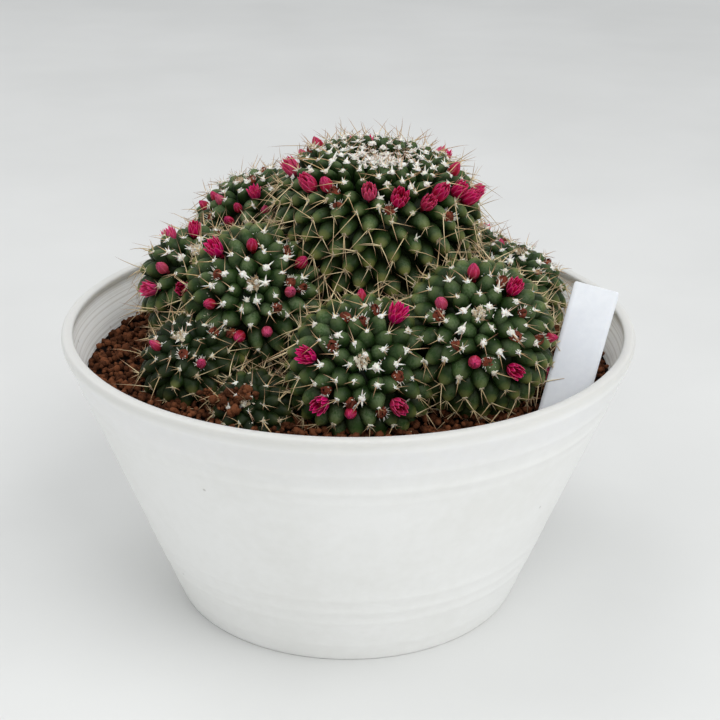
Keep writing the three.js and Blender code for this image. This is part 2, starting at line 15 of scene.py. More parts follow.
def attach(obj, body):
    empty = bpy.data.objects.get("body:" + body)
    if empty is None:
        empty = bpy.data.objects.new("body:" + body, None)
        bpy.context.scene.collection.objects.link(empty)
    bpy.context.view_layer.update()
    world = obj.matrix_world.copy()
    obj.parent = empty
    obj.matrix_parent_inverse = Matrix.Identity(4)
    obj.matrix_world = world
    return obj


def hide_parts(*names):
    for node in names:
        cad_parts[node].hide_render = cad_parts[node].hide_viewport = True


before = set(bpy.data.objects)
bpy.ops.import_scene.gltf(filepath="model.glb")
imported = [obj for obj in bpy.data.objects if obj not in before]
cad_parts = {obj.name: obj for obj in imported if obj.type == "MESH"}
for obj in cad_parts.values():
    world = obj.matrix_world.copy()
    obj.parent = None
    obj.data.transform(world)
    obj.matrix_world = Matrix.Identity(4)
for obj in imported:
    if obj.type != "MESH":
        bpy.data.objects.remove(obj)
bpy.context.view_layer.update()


# Pot
#
# One moulding of white polypropylene: a leaning wall with a rolled lip, a floor raised on a foot ring, four
# drain holes. Faint rings run round it where the mould was turned, and grime has left specks. Painted shade
# draws grey lines round the inner wall, as in turned grooves, and darkens the top of the lip.

rim_radius, pot_height, lip_width, lip_depth, lip_undercut = 165.0, 167.0, 7.5, 8.0, 2.0
foot_radius, foot_ring, foot_recess, floor_thickness = 103.5, 10.0, 4.0, 3.5
wall_top, wall_thickness = 162.6, 3.0
drain_holes, drain_radius, drain_ring = 4, 6.0, 62.0
lip_bottom, floor_top = pot_height - lip_depth, foot_recess + floor_thickness
wall_lean = (wall_top - foot_radius) / (lip_bottom - lip_undercut)
row_step, sparse, pot_sides = 1.6, 16, 192
ring_width, ring_swells = 2.2, {144: 0.4, 132: 0.5, 124: 0.2, 50: 0.3, 40: 0.35, 31: 0.35, 12: 0.2}


def inner_radius(height):
    """The radius inside the pot's straight wall: the foot's, plus lean times height, less the wall."""
    return foot_radius + wall_lean * height - wall_thickness


def rounded(corners):
    """Rounds a line of [x, y, distance] corners: each becomes a parabola that starts and ends the distance
    away from it, and is tangent to both sides there."""
    points, steps = [corners[0][:2]], 5
    for before, corner, after in zip(corners, corners[1:], corners[2:]):
        here = np.array(corner[:2], float)
        start, end = (np.array(other[:2], float) - here for other in (before, after))
        start, end = (here + side / np.linalg.norm(side) * corner[2] for side in (start, end))
        part = np.linspace(0, 1, steps)[:, None]
        points.extend((1 - part) ** 2 * start + 2 * part * (1 - part) * here + part**2 * end)
    points.append(corners[-1][:2])
    return np.array(points, float)


def divided(line, step):
    """Puts more points into a line, evenly on each of its sides, so that none is longer than the step."""
    points = [line[:1]]
    for start, end in zip(line, line[1:]):
        count = max(1, math.ceil(np.linalg.norm(end - start) / step))
        points.append(start + (end - start) * (np.arange(1, count + 1) / count)[:, None])
    return np.vstack(points)


def turned(profile, sides):
    """Turns a profile of [radius, height] rows about Z. A row becomes a ring at equal angles, and the first
    and the last row, which lie on the axis, become one point each."""
    angle = np.arange(sides) * 2 * np.pi / sides
    radius, height = profile[1:-1, 0, None], profile[1:-1, 1, None]
    rings = np.stack([radius * np.cos(angle), radius * np.sin(angle), height + 0 * angle], -1)
    rings = rings.reshape(-1, 3)
    points = np.vstack([rings, [0, 0, profile[0, 1]], [0, 0, profile[-1, 1]]])
    k, last = np.arange(sides), len(rings) - sides
    bottom = np.stack([0 * k + len(rings), (k + 1) % sides, k], -1)
    top = np.stack([0 * k + len(rings) + 1, last + k, last + (k + 1) % sides], -1)
    return points, [grid_faces(len(profile) - 2, sides, closed=True), bottom, top]


def grid_faces(rows, columns, closed=False):
    """The four-sided faces of a grid whose points are numbered row by row. A closed grid joins its last
    column to its first."""
    row = np.arange(rows - 1)[:, None] * columns
    column = np.arange(columns if closed else columns - 1)
    beside = (column + 1) % columns
    faces = [row + column, row + beside, row + columns + beside, row + columns + column]
    return np.stack(faces, -1).reshape(-1, 4)


def make_piece(name, points, faces, material, values=None):
    """Makes a smooth piece that rides on the root, of points in millimetres and faces, a list of arrays
    of corner numbers. values holds arrays with one number a point, for the materials to read."""
    mesh = bpy.data.meshes.new(name)
    corners = np.concatenate([part.ravel() for part in faces]).astype(np.int32)
    sizes = np.concatenate([np.full(len(part), part.shape[1]) for part in faces])
    mesh.vertices.add(len(points))
    mesh.vertices.foreach_set("co", (np.asarray(points) * 0.001).ravel().astype(np.float32))
    mesh.loops.add(len(corners))
    mesh.loops.foreach_set("vertex_index", corners)
    mesh.polygons.add(len(sizes))
    mesh.polygons.foreach_set("loop_start", (np.cumsum(sizes) - sizes).astype(np.int32))
    mesh.update(calc_edges=True)
    mesh.validate()
    mesh.shade_smooth()
    for key, value in (values or {}).items():
        attribute = mesh.attributes.new(key, "FLOAT", "POINT")
        attribute.data.foreach_set("value", value.ravel().astype(np.float32))
    mesh.materials.append(material)
    piece = bpy.data.objects.new(name, mesh)
    bpy.context.scene.collection.objects.link(piece)
    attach(piece, "root")
    return piece


def feed(socket, value):
    """Links another node's output to a socket, or sets its value. A colour is three numbers."""
    if isinstance(value, bpy.types.NodeSocket):
        socket.id_data.links.new(value, socket)
    else:
        socket.default_value = (*value, 1.0) if socket.type == "RGBA" else value


def dress(shader, **sockets):
    """Feeds a shader's sockets, with their names written with underscores."""
    for name, value in sockets.items():
        feed(shader.inputs[name.replace("_", " ")], value)


def new_finish(name, **sockets):
    """Starts a material with its constant values, and returns it with its node tree and its shader."""
    material = bpy.data.materials.new(name)
    material.use_nodes = True
    shader = material.node_tree.nodes["Principled BSDF"]
    dress(shader, **sockets)
    return material, material.node_tree, shader


def new_group(name, inputs, outputs):
    """Starts a shader node group with named inputs and outputs, and returns it with its two end nodes."""
    group = bpy.data.node_groups.new(name, "ShaderNodeTree")
    for in_out, sockets in (("INPUT", inputs), ("OUTPUT", outputs)):
        for label, kind in sockets.items():
            group.interface.new_socket(label, in_out=in_out, socket_type="NodeSocket" + kind)
    return group, group.nodes.new("NodeGroupInput").outputs, group.nodes.new("NodeGroupOutput").inputs


def add(tree, kind, sockets=None, **settings):
    """Adds a shader node with its settings, and feeds its sockets."""
    node = tree.nodes.new("ShaderNode" + kind)
    for key, value in settings.items():
        setattr(node, key, value)
    for key, value in (sockets or {}).items():
        feed(node.inputs[key], value)
    return node


def carried(tree, name):
    """The numbers that a mesh carries under a name, one a point."""
    return add(tree, "Attribute", attribute_name=name).outputs["Fac"]


def product(tree, first, second):
    """Two values multiplied."""
    return add(tree, "Math", {0: first, 1: second}, operation="MULTIPLY").outputs[0]


def ranged(tree, value, low, high, to_low=0.0, to_high=1.0):
    """Takes a value from one range to another, and holds it there."""
    sockets = {"Value": value, "From Min": low, "From Max": high, "To Min": to_low, "To Max": to_high}
    return add(tree, "MapRange", sockets).outputs[0]


def mixed(tree, factor, first, second):
    """Mixes two colours by a factor."""
    return add(tree, "Mix", {0: factor, 6: first, 7: second}, data_type="RGBA").outputs[2]


def layered(tree, base, *layers):
    """Lays tones over a base, one after the other. A layer is a value, the low and the high end of the
    range of it that counts, how much of the tone shows at each of them, and the tone."""
    for value, low, high, at_low, at_high, tone in layers:
        base = mixed(tree, ranged(tree, value, low, high, at_low, at_high), base, tone)
    return base


def bumped(tree, height, strength, distance):
    """The normal of a bump, whose distance is in metres."""
    return add(tree, "Bump", {"Height": height, "Strength": strength, "Distance": distance}).outputs[0]


# Two tones that drift into each other over the surface, with a finer grain in them: a broad noise and a
# fine one are added up and mix the colours. Height is the fine noise, for a bump.
drift, ins, outs = new_group(
    "drifting_tone",
    {"First": "Color", "Second": "Color", "Broad Scale": "Float", "Fine Scale": "Float", "Grain": "Float"},
    {"Color": "Color", "Height": "Float"},
)
where = add(drift, "TexCoord").outputs["Object"]
broad = add(drift, "TexNoise", {"Vector": where, "Scale": ins["Broad Scale"], "Detail": 3.0}).outputs[0]
fine = add(drift, "TexNoise", {"Vector": where, "Scale": ins["Fine Scale"], "Detail": 4.0}).outputs[0]
centred = add(drift, "Math", {0: fine, 1: 0.5}, operation="SUBTRACT").outputs[0]
grained = add(drift, "Math", {0: centred, 1: ins["Grain"], 2: broad}, operation="MULTIPLY_ADD").outputs[0]
share = ranged(drift, grained, 0.35, 0.65)
feed(outs["Color"], mixed(drift, share, ins["First"], ins["Second"]))
feed(outs["Height"], fine)


def drifting(tree, first, second, broad_scale, fine_scale, grain):
    """Places the drifting tone in a material, and returns its colour and its height."""
    sockets = {"First": first, "Second": second, "Grain": grain}
    sockets.update({"Broad Scale": broad_scale, "Fine Scale": fine_scale})
    return add(tree, "Group", sockets, node_tree=drift).outputs


# Small dark specks where dirt clings: the middles of the cells of a fine pattern, in some cells only.
specks, ins, outs = new_group("specks", {"Scale": "Float", "Share": "Float"}, {"Mask": "Float"})
where = add(specks, "TexCoord").outputs["Object"]
cells = add(specks, "TexVoronoi", {"Vector": where, "Scale": ins["Scale"]}).outputs
middle = ranged(specks, cells["Distance"], 0.06, 0.12, 1.0, 0.0)
chance = add(specks, "SeparateColor", {0: cells["Color"]}).outputs[0]
chosen = add(specks, "Math", {0: chance, 1: ins["Share"]}, operation="LESS_THAN").outputs[0]
feed(outs["Mask"], product(specks, middle, chosen))

pot_white, tree, shader = new_finish(
    "pot_white", Specular_IOR_Level=0.3, Subsurface_Scale=0.009, Subsurface_Radius=(1.0, 0.97, 0.9),
)
tone = drifting(tree, (0.86, 0.86, 0.835), (0.91, 0.912, 0.895), 14.0, 160.0, 0.4)
speck = add(tree, "Group", {"Scale": 95.0, "Share": 0.05}, node_tree=specks).outputs["Mask"]
place = add(tree, "SeparateXYZ", {0: add(tree, "TexCoord").outputs["Object"]}).outputs
level = place["Z"]

# Painted shade lies in fine grey bands up the inner wall, as the shade of turned grooves. A point is on it
# where the radius, less what the wall leans out up to there, is the smaller.
flat = add(tree, "CombineXYZ", {"X": place["X"], "Y": place["Y"]}).outputs[0]
radius = add(tree, "VectorMath", {0: flat}, operation="LENGTH").outputs["Value"]
upright = add(tree, "Math", {0: level, 1: -wall_lean, 2: radius}, operation="MULTIPLY_ADD").outputs[0]
grooves = {"W": level, "Scale": 700.0, "Detail": 1.0}
groove = add(tree, "TexNoise", grooves, noise_dimensions="1D").outputs[0]
groove_shade = product(tree, ranged(tree, upright, 0.1015, 0.1025, 0.42, 0.0), ranged(tree, groove, 0.48, 0.62))
dress(
    shader,
    Base_Color=layered(
        tree, tone["Color"],
        (speck, 0.0, 1.0, 0.0, 0.45, (0.30, 0.27, 0.23)),
        # painted shade: grey bands up the inner wall, for the shade of turned grooves
        (groove_shade, 0.0, 1.0, 0.0, 1.0, (0.42, 0.39, 0.35)),
        # painted shade: the top of the lip is painted a darker grey, so that it takes no more light than
        # the wall
        (level, 0.160, 0.166, 0.0, 0.9, (0.55, 0.55, 0.53)),
    ),
    Subsurface_Weight=ranged(tree, level, 0.135, 0.150, 0.05, 0.75),
    Roughness=ranged(tree, tone["Height"], 0.3, 0.7, 0.34, 0.5),
    Normal=bumped(tree, tone["Height"], 0.12, 0.0004),
)

profile = rounded(
    [
        (0, foot_recess, 0),
        (foot_radius - foot_ring - 2, foot_recess, 1.5),
        (foot_radius - foot_ring, 0, 1.0),
        (foot_radius - 0.3, 0, 1.0),
        (wall_top - 4 * wall_lean, lip_bottom - 6, 3.5),
        (rim_radius - 0.1, lip_bottom + 2, 2.9),
        (rim_radius, pot_height, 2.9),
        (rim_radius - lip_width, pot_height, 2.9),
        (inner_radius(lip_bottom), lip_bottom, 2.0),
        (inner_radius(floor_top), floor_top, 4.0),
        (0, floor_top, 0),
    ]
)
profile = divided(profile, row_step)
outside = profile[:, 0] > inner_radius(profile[:, 1]) + wall_thickness / 2

# The floor and the inner wall are straight: there, away from the bends, one row in sixteen is enough.
side = np.diff(profile, axis=0)
bent = 1 + np.flatnonzero(np.abs(side[:-1, 0] * side[1:, 1] - side[:-1, 1] * side[1:, 0]) > 1e-6)
needed = outside.copy()
needed[np.concatenate([bent - 1, bent, bent + 1, [0, -1]])] = True
needed[::sparse] = True
profile, outside = profile[needed], outside[needed]
for height, swell in ring_swells.items():
    profile[:, 0] += outside * swell * np.exp(-(((profile[:, 1] - height) / ring_width) ** 2))
points, faces = turned(profile, pot_sides)
pot = make_piece("pot_moulding", points, faces, pot_white)
for i in range(drain_holes):
    around = 2 * math.pi * (i + 0.5) / drain_holes
    spot = Vector((math.cos(around), math.sin(around), 0)) * drain_ring * 0.001
    bpy.ops.mesh.primitive_cylinder_add(vertices=40, radius=drain_radius * 0.001, depth=0.03)
    cutter = bpy.context.object
    cutter.data.transform(Matrix.Translation((*spot.xy, 0.005)))
    hole = pot.modifiers.new("drain_hole", "BOOLEAN")
    hole.object = cutter
    bpy.context.view_layer.update()
    cut = bpy.data.meshes.new_from_object(pot.evaluated_get(bpy.context.evaluated_depsgraph_get()))
    pot.modifiers.clear()
    pot.data = cut
    bpy.data.objects.remove(cutter)
pot.data.set_sharp_from_angle(angle=math.radians(50))
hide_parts("pot")


# Heads
#
# Eleven heads of one plant grow side by side, a tall one in the middle. Each is packed with tubercles:
# green stubby cones with a dull skin under a glaucous bloom, paler at the tips, and yellower when old.
# Painted shade darkens the valleys between them, and a painted highlight lightens their upper sides.
# A bloom is given by its kind, its angle round the head's axis and its way down from the crown.

golden_angle = math.pi * (3 - math.sqrt(5))
soil_level, plant_bottom = 139.5, 128.0
heads = {
    "offset_low_left": dict(
        foot=(-79, -28, 130), tip=(-93, -50, 175), radius=32, cap=27, squareness=2.1, dimple=0.5,
        young=8.5, spacing=11.5, blooms=[],
    ),
    "offset_low_front": dict(
        foot=(-46, -66, 130), tip=(-55, -92, 156), radius=24, cap=20, squareness=2.1, dimple=0.5,
        young=8, spacing=10.5, blooms=[],
    ),
    "offset_front": dict(
        foot=(8, -30, 138), tip=(7, -100, 182), radius=42, cap=36, turn=59,
        blooms=[("bud", 90, 64), ("open", 54, 37), ("open", 172, 32), ("open", 224, 34), ("bud", 257, 30.5),
                ("open", 309, 33)],
    ),
    "offset_right": dict(
        foot=(70, -24, 147), tip=(68, -87, 204), radius=44, cap=41, turn=255,
        blooms=[("bud", 158, 22.5), ("open", 303, 38), ("open", 40, 28), ("bud", 263, 27), ("bud", 93, 30),
                ("open", 341, 93)],
    ),
    "offset_left_front": dict(
        foot=(-50, 30, 155), tip=(-52, -40, 202), radius=45, cap=43, turn=223,
        blooms=[("bud", 93, 26.5), ("bud", 28, 33.5), ("bud", 348, 21.5), ("bud", 198, 31),
                ("bud", 283, 29.5), ("bud", 251, 33), ("open", 133, 37.5)],
    ),
    "offset_left": dict(
        foot=(-90, 45, 140), tip=(-88, 6, 206), radius=36, cap=36, turn=163,
        blooms=[("open", 126, 41.5), ("open", 98, 18.5), ("bud", 203, 24), ("open", 256, 27),
                ("open", 211, 40)],
    ),
    "offset_right_back": dict(foot=(86, 30, 132), tip=(101, 22, 201), radius=36, cap=34, blooms=[]),
    "offset_left_back": dict(
        foot=(-30, 88, 130), tip=(-69, 80, 226), radius=45, cap=38, turn=256,
        blooms=[("bud", 191, 18), ("open", 296, 23), ("bud", 179, 28.5), ("bud", 251, 36),
                ("bud", 264, 27)],
    ),
    "offset_back": dict(
        foot=(10, 85, 132), tip=(4, 108, 198), radius=38, cap=34, blooms=[("open", 70, 24)],
    ),
    "offset_back_right": dict(
        foot=(66, 82, 132), tip=(84, 98, 192), radius=36, cap=32, blooms=[("open", 60, 22)],
    ),
    "main_head": dict(
        foot=(8, 30, 126), tip=(20, 21, 264), radius=60, cap=43, squareness=2.4, dimple=9, young=6.5,
        spacing=13, growth=1.15, turn=242,
        blooms=[("open", 183, 58), ("bud", 150, 60), ("open", 215, 56), ("bud", 228, 51),
                ("open", 260, 49), ("open", 280, 52), ("open", 300, 55), ("open", 313, 50.5),
                ("open", 333, 53), ("open", 341, 61), ("open", 1, 64), ("bud", 358, 44),
                ("open", 45, 60), ("open", 95, 62), ("bud", 143, 52)],
    ),
}
usual = dict(squareness=2.2, dimple=1, young=9.5, spacing=12.5, growth=0.75, turn=0)
dimple_width, neck_taper, packing = 0.36, 0.22, 0.87
young_relief, full_relief, relief_growth = 3.0, 8.5, 0.22


def unit(vectors):
    """Vectors brought to length 1."""
    return vectors / np.linalg.norm(vectors, axis=-1, keepdims=True)


def set_up(head):
    """Gives a head its axes and its outline from the crown to the foot. The dome is a superellipse,
    r = R sin(t)^(2/n) and z = L - cap (1 - cos(t)^(2/n)), with a dimple in its crown, and the neck below
    it draws in. Way is the length of the outline down from the crown."""
    head.update({key: value for key, value in usual.items() if key not in head})
    foot, tip = np.array(head["foot"], float), np.array(head["tip"], float)
    length = np.linalg.norm(tip - foot)
    axis = (tip - foot) / length
    right = unit(np.cross((0, 1, 0), axis))
    head["axes"] = np.array([right, np.cross(axis, right), axis])
    head["length"] = length
    t = np.linspace(0, np.pi / 2, 91)
    r = head["radius"] * np.sin(t) ** (2 / head["squareness"])
    z = length - head["cap"] * (1 - np.cos(t) ** (2 / head["squareness"]))
    z -= head["dimple"] * np.exp(-((r / (dimple_width * head["radius"])) ** 2))
    down = np.arange(1, 31) / 30
    r = np.append(r, head["radius"] * (1 - neck_taper * down**1.5))
    z = np.append(z, (length - head["cap"]) * (1 - down))
    way = np.append(0, np.cumsum(np.hypot(np.diff(r), np.diff(z))))
    head["outline"] = way, r, z


def place_on(head, around, way, depth):
    """Points of a head at angles round its axis and ways down its outline, sunk below it by depths, and the
    outward normals there: the outline's own slope turned by a right angle."""
    ways, radii, heights = head["outline"]
    middles = (ways[1:] + ways[:-1]) / 2
    dr = np.interp(way, middles, np.diff(radii) / np.diff(ways))[..., None]
    dz = np.interp(way, middles, np.diff(heights) / np.diff(ways))[..., None]
    r, z = np.interp(way, ways, radii)[..., None], np.interp(way, ways, heights)[..., None]
    right, back, axis = head["axes"]
    outward = np.cos(around)[..., None] * right + np.sin(around)[..., None] * back
    normal = unit(dr * axis - dz * outward)
    return np.array(head["foot"]) + axis * z + outward * r - normal * np.asarray(depth)[..., None], normal


def relief_at(way):
    """The height of the tubercles: low in the crown, full down the sides."""
    return np.minimum(full_relief, young_relief + relief_growth * way)


def spacing_at(head, way):
    """The pitch of the tubercles, which grows from the crown to the head's growth, in radii, down."""
    reach = head["growth"] * head["radius"]
    return head["young"] + (head["spacing"] - head["young"]) * np.minimum(way / reach, 1)


def depth_inside(head, points):
    """How far points lie inside a head, over its dome's middle: positive inside, negative outside."""
    moved = points - np.array(head["foot"])
    height = moved @ head["axes"][2]
    radius = np.linalg.norm(moved - height[..., None] * head["axes"][2], axis=-1)
    up = np.maximum(height - (head["length"] - head["cap"]), 0)
    power = head["squareness"]
    swell = ((radius / head["radius"]) ** power + (up / head["cap"]) ** power) ** (1 / power)
    return (1 - swell) * np.where(up > 0, head["cap"], head["radius"])


def tubercles_of(head):
    """The tubercles, set a golden angle apart, each as far down the outline as the area that it takes
    up: the number passed grows by 2 pi r / (packing pitch^2) a millimetre. Buried is how deep each lies
    in a neighbour or in the soil."""
    ways, radii, _ = head["outline"]
    step = 0.25
    way = np.arange(step, ways[-1], step)
    girth = 2 * np.pi * np.interp(way, ways, radii)
    passed = 0.5 + np.cumsum(girth * step / (packing * spacing_at(head, way) ** 2))
    number = np.arange(int(passed[-1]))
    at = way[np.minimum(np.searchsorted(passed, number + 1), len(way) - 1)]
    around = number * golden_angle + math.radians(head["turn"])
    point, normal = place_on(head, around, at, 0 * at)
    others = [depth_inside(other, point) for other in heads.values() if other is not head]
    return dict(
        way=at, around=around, point=point, normal=normal, pitch=spacing_at(head, at),
        rise=np.cross(normal, unit(np.cross(head["axes"][2], normal))),
        buried=np.maximum.reduce([*others, soil_level - point[:, 2]]),
    )


def copied(shape, faces, centres, frames, sizes):
    """Copies a small shape to many places: each point is the centre, plus the frame's three directions
    times the size times the shape's coordinates. shape may differ from copy to copy."""
    local = shape * sizes[:, None, :]
    points = centres[:, None, :] + np.einsum("nvc,ncd->nvd", local, frames)
    offsets = np.arange(len(centres))[:, None, None] * local.shape[1]
    return points.reshape(-1, 3), [(part[None] + offsets).reshape(-1, part.shape[1]) for part in faces]


def joined(parts):
    """Joins several (points, faces, values) into one, with the corner numbers moved on."""
    points, triangles, quads, count = [], [np.zeros((0, 3), int)], [np.zeros((0, 4), int)], 0
    for part in parts:
        points.append(part[0])
        for array in part[1]:
            (triangles if array.shape[1] == 3 else quads).append(array + count)
        count += len(part[0])
    values = {key: np.concatenate([part[2][key].ravel() for part in parts]) for key in parts[0][2]}
    return np.vstack(points), [np.vstack(triangles), np.vstack(quads)], values


def knob(rings, sides, keel, back):
    """A closed-topped knob on its side, up and out axes. rings holds (height, radius) rows. The section at
    each height is a superellipse, |x|^p + |y|^p = 1: its power goes from the foot to 2 at the top, from
    keel in the lower half and from back in the upper half."""
    angle = np.arange(sides) * 2 * np.pi / sides
    c, s = np.cos(angle), np.sin(angle)
    corner_power = np.where(s > 0, back, keel)
    rows = []
    for height, radius in rings:
        power = corner_power + (2 - corner_power) * height
        reach = (np.abs(c) ** power + np.abs(s) ** power) ** (-1 / power) * radius
        rows.append(np.stack([reach * c, reach * s, 0 * c + height], -1))
    points = np.vstack([*rows, [[0, 0, rings[-1][0] + 0.02]]])
    k = np.arange(sides)
    last = (len(rings) - 1) * sides
    cap = np.stack([last + k, last + (k + 1) % sides, 0 * k + len(points) - 1], -1)
    return points, [grid_faces(len(rings), sides, closed=True), cap]


flesh, tree, shader = new_finish(
    "cactus_skin", Specular_IOR_Level=0.12, Subsurface_Weight=0.05, Subsurface_Scale=0.003,
    Subsurface_Radius=(0.3, 1.0, 0.2),
)
height, upper = carried(tree, "height"), carried(tree, "upper")
tint, age = carried(tree, "tint"), carried(tree, "age")
skin = drifting(tree, (0.006, 0.018, 0.003), (0.016, 0.040, 0.007), 110.0, 700.0, 0.5)
# The glaucous tone is partly the real bloom on the skin and partly a painted highlight on each tubercle's
# upper side.
waxy_highlight = drifting(tree, (0.042, 0.088, 0.024), (0.130, 0.180, 0.088), 140.0, 900.0, 0.9)
wax_and_highlight = product(tree, ranged(tree, upper, 0.6, 1.0), ranged(tree, tint, -0.1, 0.9))
young_tip, old_tip = (0.100, 0.135, 0.050), (0.290, 0.280, 0.075)
young_valley_shade, old_valley_shade = (0.003, 0.008, 0.002), (0.022, 0.032, 0.009)
dress(
    shader,
    Base_Color=layered(
        tree, skin["Color"],
        (wax_and_highlight, 0.0, 1.0, 0.0, 1.0, waxy_highlight["Color"]),
        (age, 0.35, 0.8, 0.0, 0.3, (0.024, 0.040, 0.006)),
        (height, 0.76, 1.0, 0.0, 0.62, mixed(tree, ranged(tree, age, 0.3, 0.55), young_tip, old_tip)),
        # painted shade: a tint below nought darkens the two low heads by the rim
        (tint, -0.3, -0.1, 0.75, 0.0, (0.005, 0.010, 0.003)),
        # painted shade: low on each tubercle, and on the flesh between them, the colour goes dark as the
        # valleys' shade
        (height, 0.25, 0.8, 1.0, 0.0, mixed(tree, age, young_valley_shade, old_valley_shade)),
    ),
    Roughness=ranged(tree, skin["Height"], 0.3, 0.7, 0.36, 0.52),
    Normal=bumped(tree, skin["Height"], 0.25, 0.0003),
)

bloom_depth, hidden_depth, core_rows, core_sides = 3.5, 7.5, 44, 56
rng = np.random.default_rng(31)
for head in heads.values():
    set_up(head)
for name, head in heads.items():
    grown = head["tubercles"] = tubercles_of(head)
    seats = []
    usable = np.flatnonzero(grown["buried"] < bloom_depth)
    for _, degrees, way in head["blooms"]:
        spot = place_on(head, np.radians(degrees), np.float64(way), 0.0)[0]
        seats.append(usable[np.argmin(np.linalg.norm(grown["point"][usable] - spot, axis=1))])
    head["seats"] = np.array(seats, int)
    shown = grown["shown"] = np.setdiff1d(np.flatnonzero(grown["buried"] < hidden_depth), head["seats"])

    # A tubercle points outwards and away from the crown, more so down the sides, but inwards in the tall
    # head's crown. Its tip stays on the head's outline, its foot is sunk in the flesh, and between them
    # its middle arches up. The old ones on the tall head are slimmer, with wider valleys. Its upper side,
    # turned a little at random, takes a glaucous tone that is partly the real bloom and partly a painted
    # highlight, so that the lit side differs from one tubercle to the next.
    count = len(shown)
    way, point, normal, rise = (grown[key][shown] for key in ("way", "point", "normal", "rise"))
    down = np.minimum(way / (1.1 * head["radius"]), 1)
    lean = 0.3 - 0.55 * down if name == "main_head" else -0.05 - 0.27 * down
    pointing = unit(normal + lean[:, None] * rise + 0.11 * rng.standard_normal((count, 3)))
    across = unit(np.cross(rise, pointing))
    frames = np.stack([across, np.cross(pointing, across), pointing], 1)
    stature = (relief_at(way) + 4.2) * np.hypot(1, lean)
    width = grown["pitch"][shown] * (0.56 - 0.04 * np.minimum(way / 20, 1))
    width *= 1 + 0.06 * rng.standard_normal(count)
    rings = [(0, 1.0), (0.35, 0.98), (0.55, 0.89), (0.72, 0.73), (0.86, 0.53), (0.95, 0.32), (1.0, 0.13)]
    shape, faces = knob(rings, 14, 1.2, 1.6)
    height = np.broadcast_to(shape[:, 2], (count, len(shape)))
    turned_by = rng.normal(0, 0.6, (count, 1))
    upper = np.cos(turned_by) * shape[:, 1] + np.sin(turned_by) * shape[:, 0]
    upper = 0.5 + 0.5 * upper / np.hypot(shape[:, 0], shape[:, 1]).clip(0.1)
    slim = (0.7 if name == "main_head" else 0.25) * down[:, None, None] * (height * (1 - height))[..., None]
    shape = np.concatenate([shape[None, :, :2] * (1 - slim), np.repeat(shape[None, :, 2:], count, 0)], 2)
    points, faces = copied(shape, faces, point - pointing * stature[:, None], frames,
                           np.stack([width, 0.9 * width, stature], 1))
    arch = 0.32 * stature[:, None] * height * (1 - height) * (1 - lean[:, None])
    points += (arch[..., None] * rise[:, None]).reshape(-1, 3)
    # The two low heads by the rim are shaded: their tint drops by one, which paints their skin darker, as
    # shade. The head at the left back gets 0.3 more, which spreads the painted highlight over more of it,
    # as light.
    shaded = head["shaded"] = name in ("offset_low_left", "offset_low_front")
    tint = rng.beta(1.2, 2.2, count) - 1.0 * shaded + 0.3 * (name == "offset_left_back")
    tint = np.repeat(tint[:, None], shape.shape[1], 1)
    age = np.repeat((way / head["outline"][0][-1])[:, None], shape.shape[1], 1)
    head["tips"], head["pointing"], head["frames"] = point, pointing, frames
    tubercles = points, faces, {"height": height, "upper": upper, "tint": tint, "age": age}

    # The flesh between the tubercles' feet. Its height is low, so it takes the painted valley shade.
    ways = np.linspace(0.4, head["outline"][0][-1], core_rows)[:, None] + np.zeros((1, core_sides))
    turns = np.zeros((core_rows, 1)) + np.arange(core_sides) * 2 * np.pi / core_sides
    points = place_on(head, turns, ways, relief_at(ways) + 1.8)[0].reshape(-1, 3)
    values = {"height": 0 * ways + 0.05, "upper": 0 * ways, "tint": 0 * ways}
    values["age"] = ways / head["outline"][0][-1]
    core = points, [grid_faces(core_rows, core_sides, closed=True)[:, ::-1]], values
    points, faces, values = joined([tubercles, core])
    points[:, 2] = np.maximum(points[:, 2], plant_bottom)
    piece = make_piece(f"{name}_flesh", points, faces, flesh, values)
    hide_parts(name)


# Soil
#
# A fill of hard-baked, red-brown granules two to six millimetres across, over a body of soil painted
# near-black, as the shade in the gaps between them, up to a little below the lip. The granules lie loose
# round the heads.

soil_brown, tree, shader = new_finish("soil_granules", Specular_IOR_Level=0.1, Roughness=0.95)
tint = carried(tree, "tint")
crumb = drifting(tree, (0.038, 0.012, 0.005), (0.100, 0.035, 0.015), 260.0, 1400.0, 0.8)
dress(
    shader,
    Base_Color=layered(
        tree, crumb["Color"],
        (tint, 0.3, 1.0, 0.0, 0.8, (0.21, 0.074, 0.032)),
        # painted shade: a tint below nought turns the fill under the granules near-black, as the shade
        # between them
        (tint, -1.0, 0.0, 1.0, 0.0, (0.006, 0.002, 0.001)),
    ),
    Normal=bumped(tree, crumb["Height"], 0.8, 0.0008),
)

wall_gap, fill_level = 0.3, soil_level - 1.2
edge, fill_bottom, top_rows = inner_radius(soil_level) - wall_gap, floor_top + wall_gap, 60
profile = [(0, fill_bottom), (inner_radius(fill_bottom) - 4 - wall_gap, fill_bottom)]
profile += [(inner_radius(h) - wall_gap, h) for h in (12, 40, 80, 120, fill_level)]
top = np.stack([np.linspace(edge - 1.5, 0, top_rows), np.full(top_rows, fill_level)], -1)
points, faces = turned(np.vstack([profile, top]), 160)
on_top = (points[:, 2] > soil_level - 2) & (np.hypot(points[:, 0], points[:, 1]) < edge - 1)
points[on_top, 2] += rng.uniform(-0.9, 0.5, on_top.sum())
# The fill carries a tint of -1, so it is painted near-black, as shade in the gaps between the granules.
fill = make_piece("soil_fill", points, faces, soil_brown, {"tint": np.full(len(points), -1.0)})
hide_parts("soil")

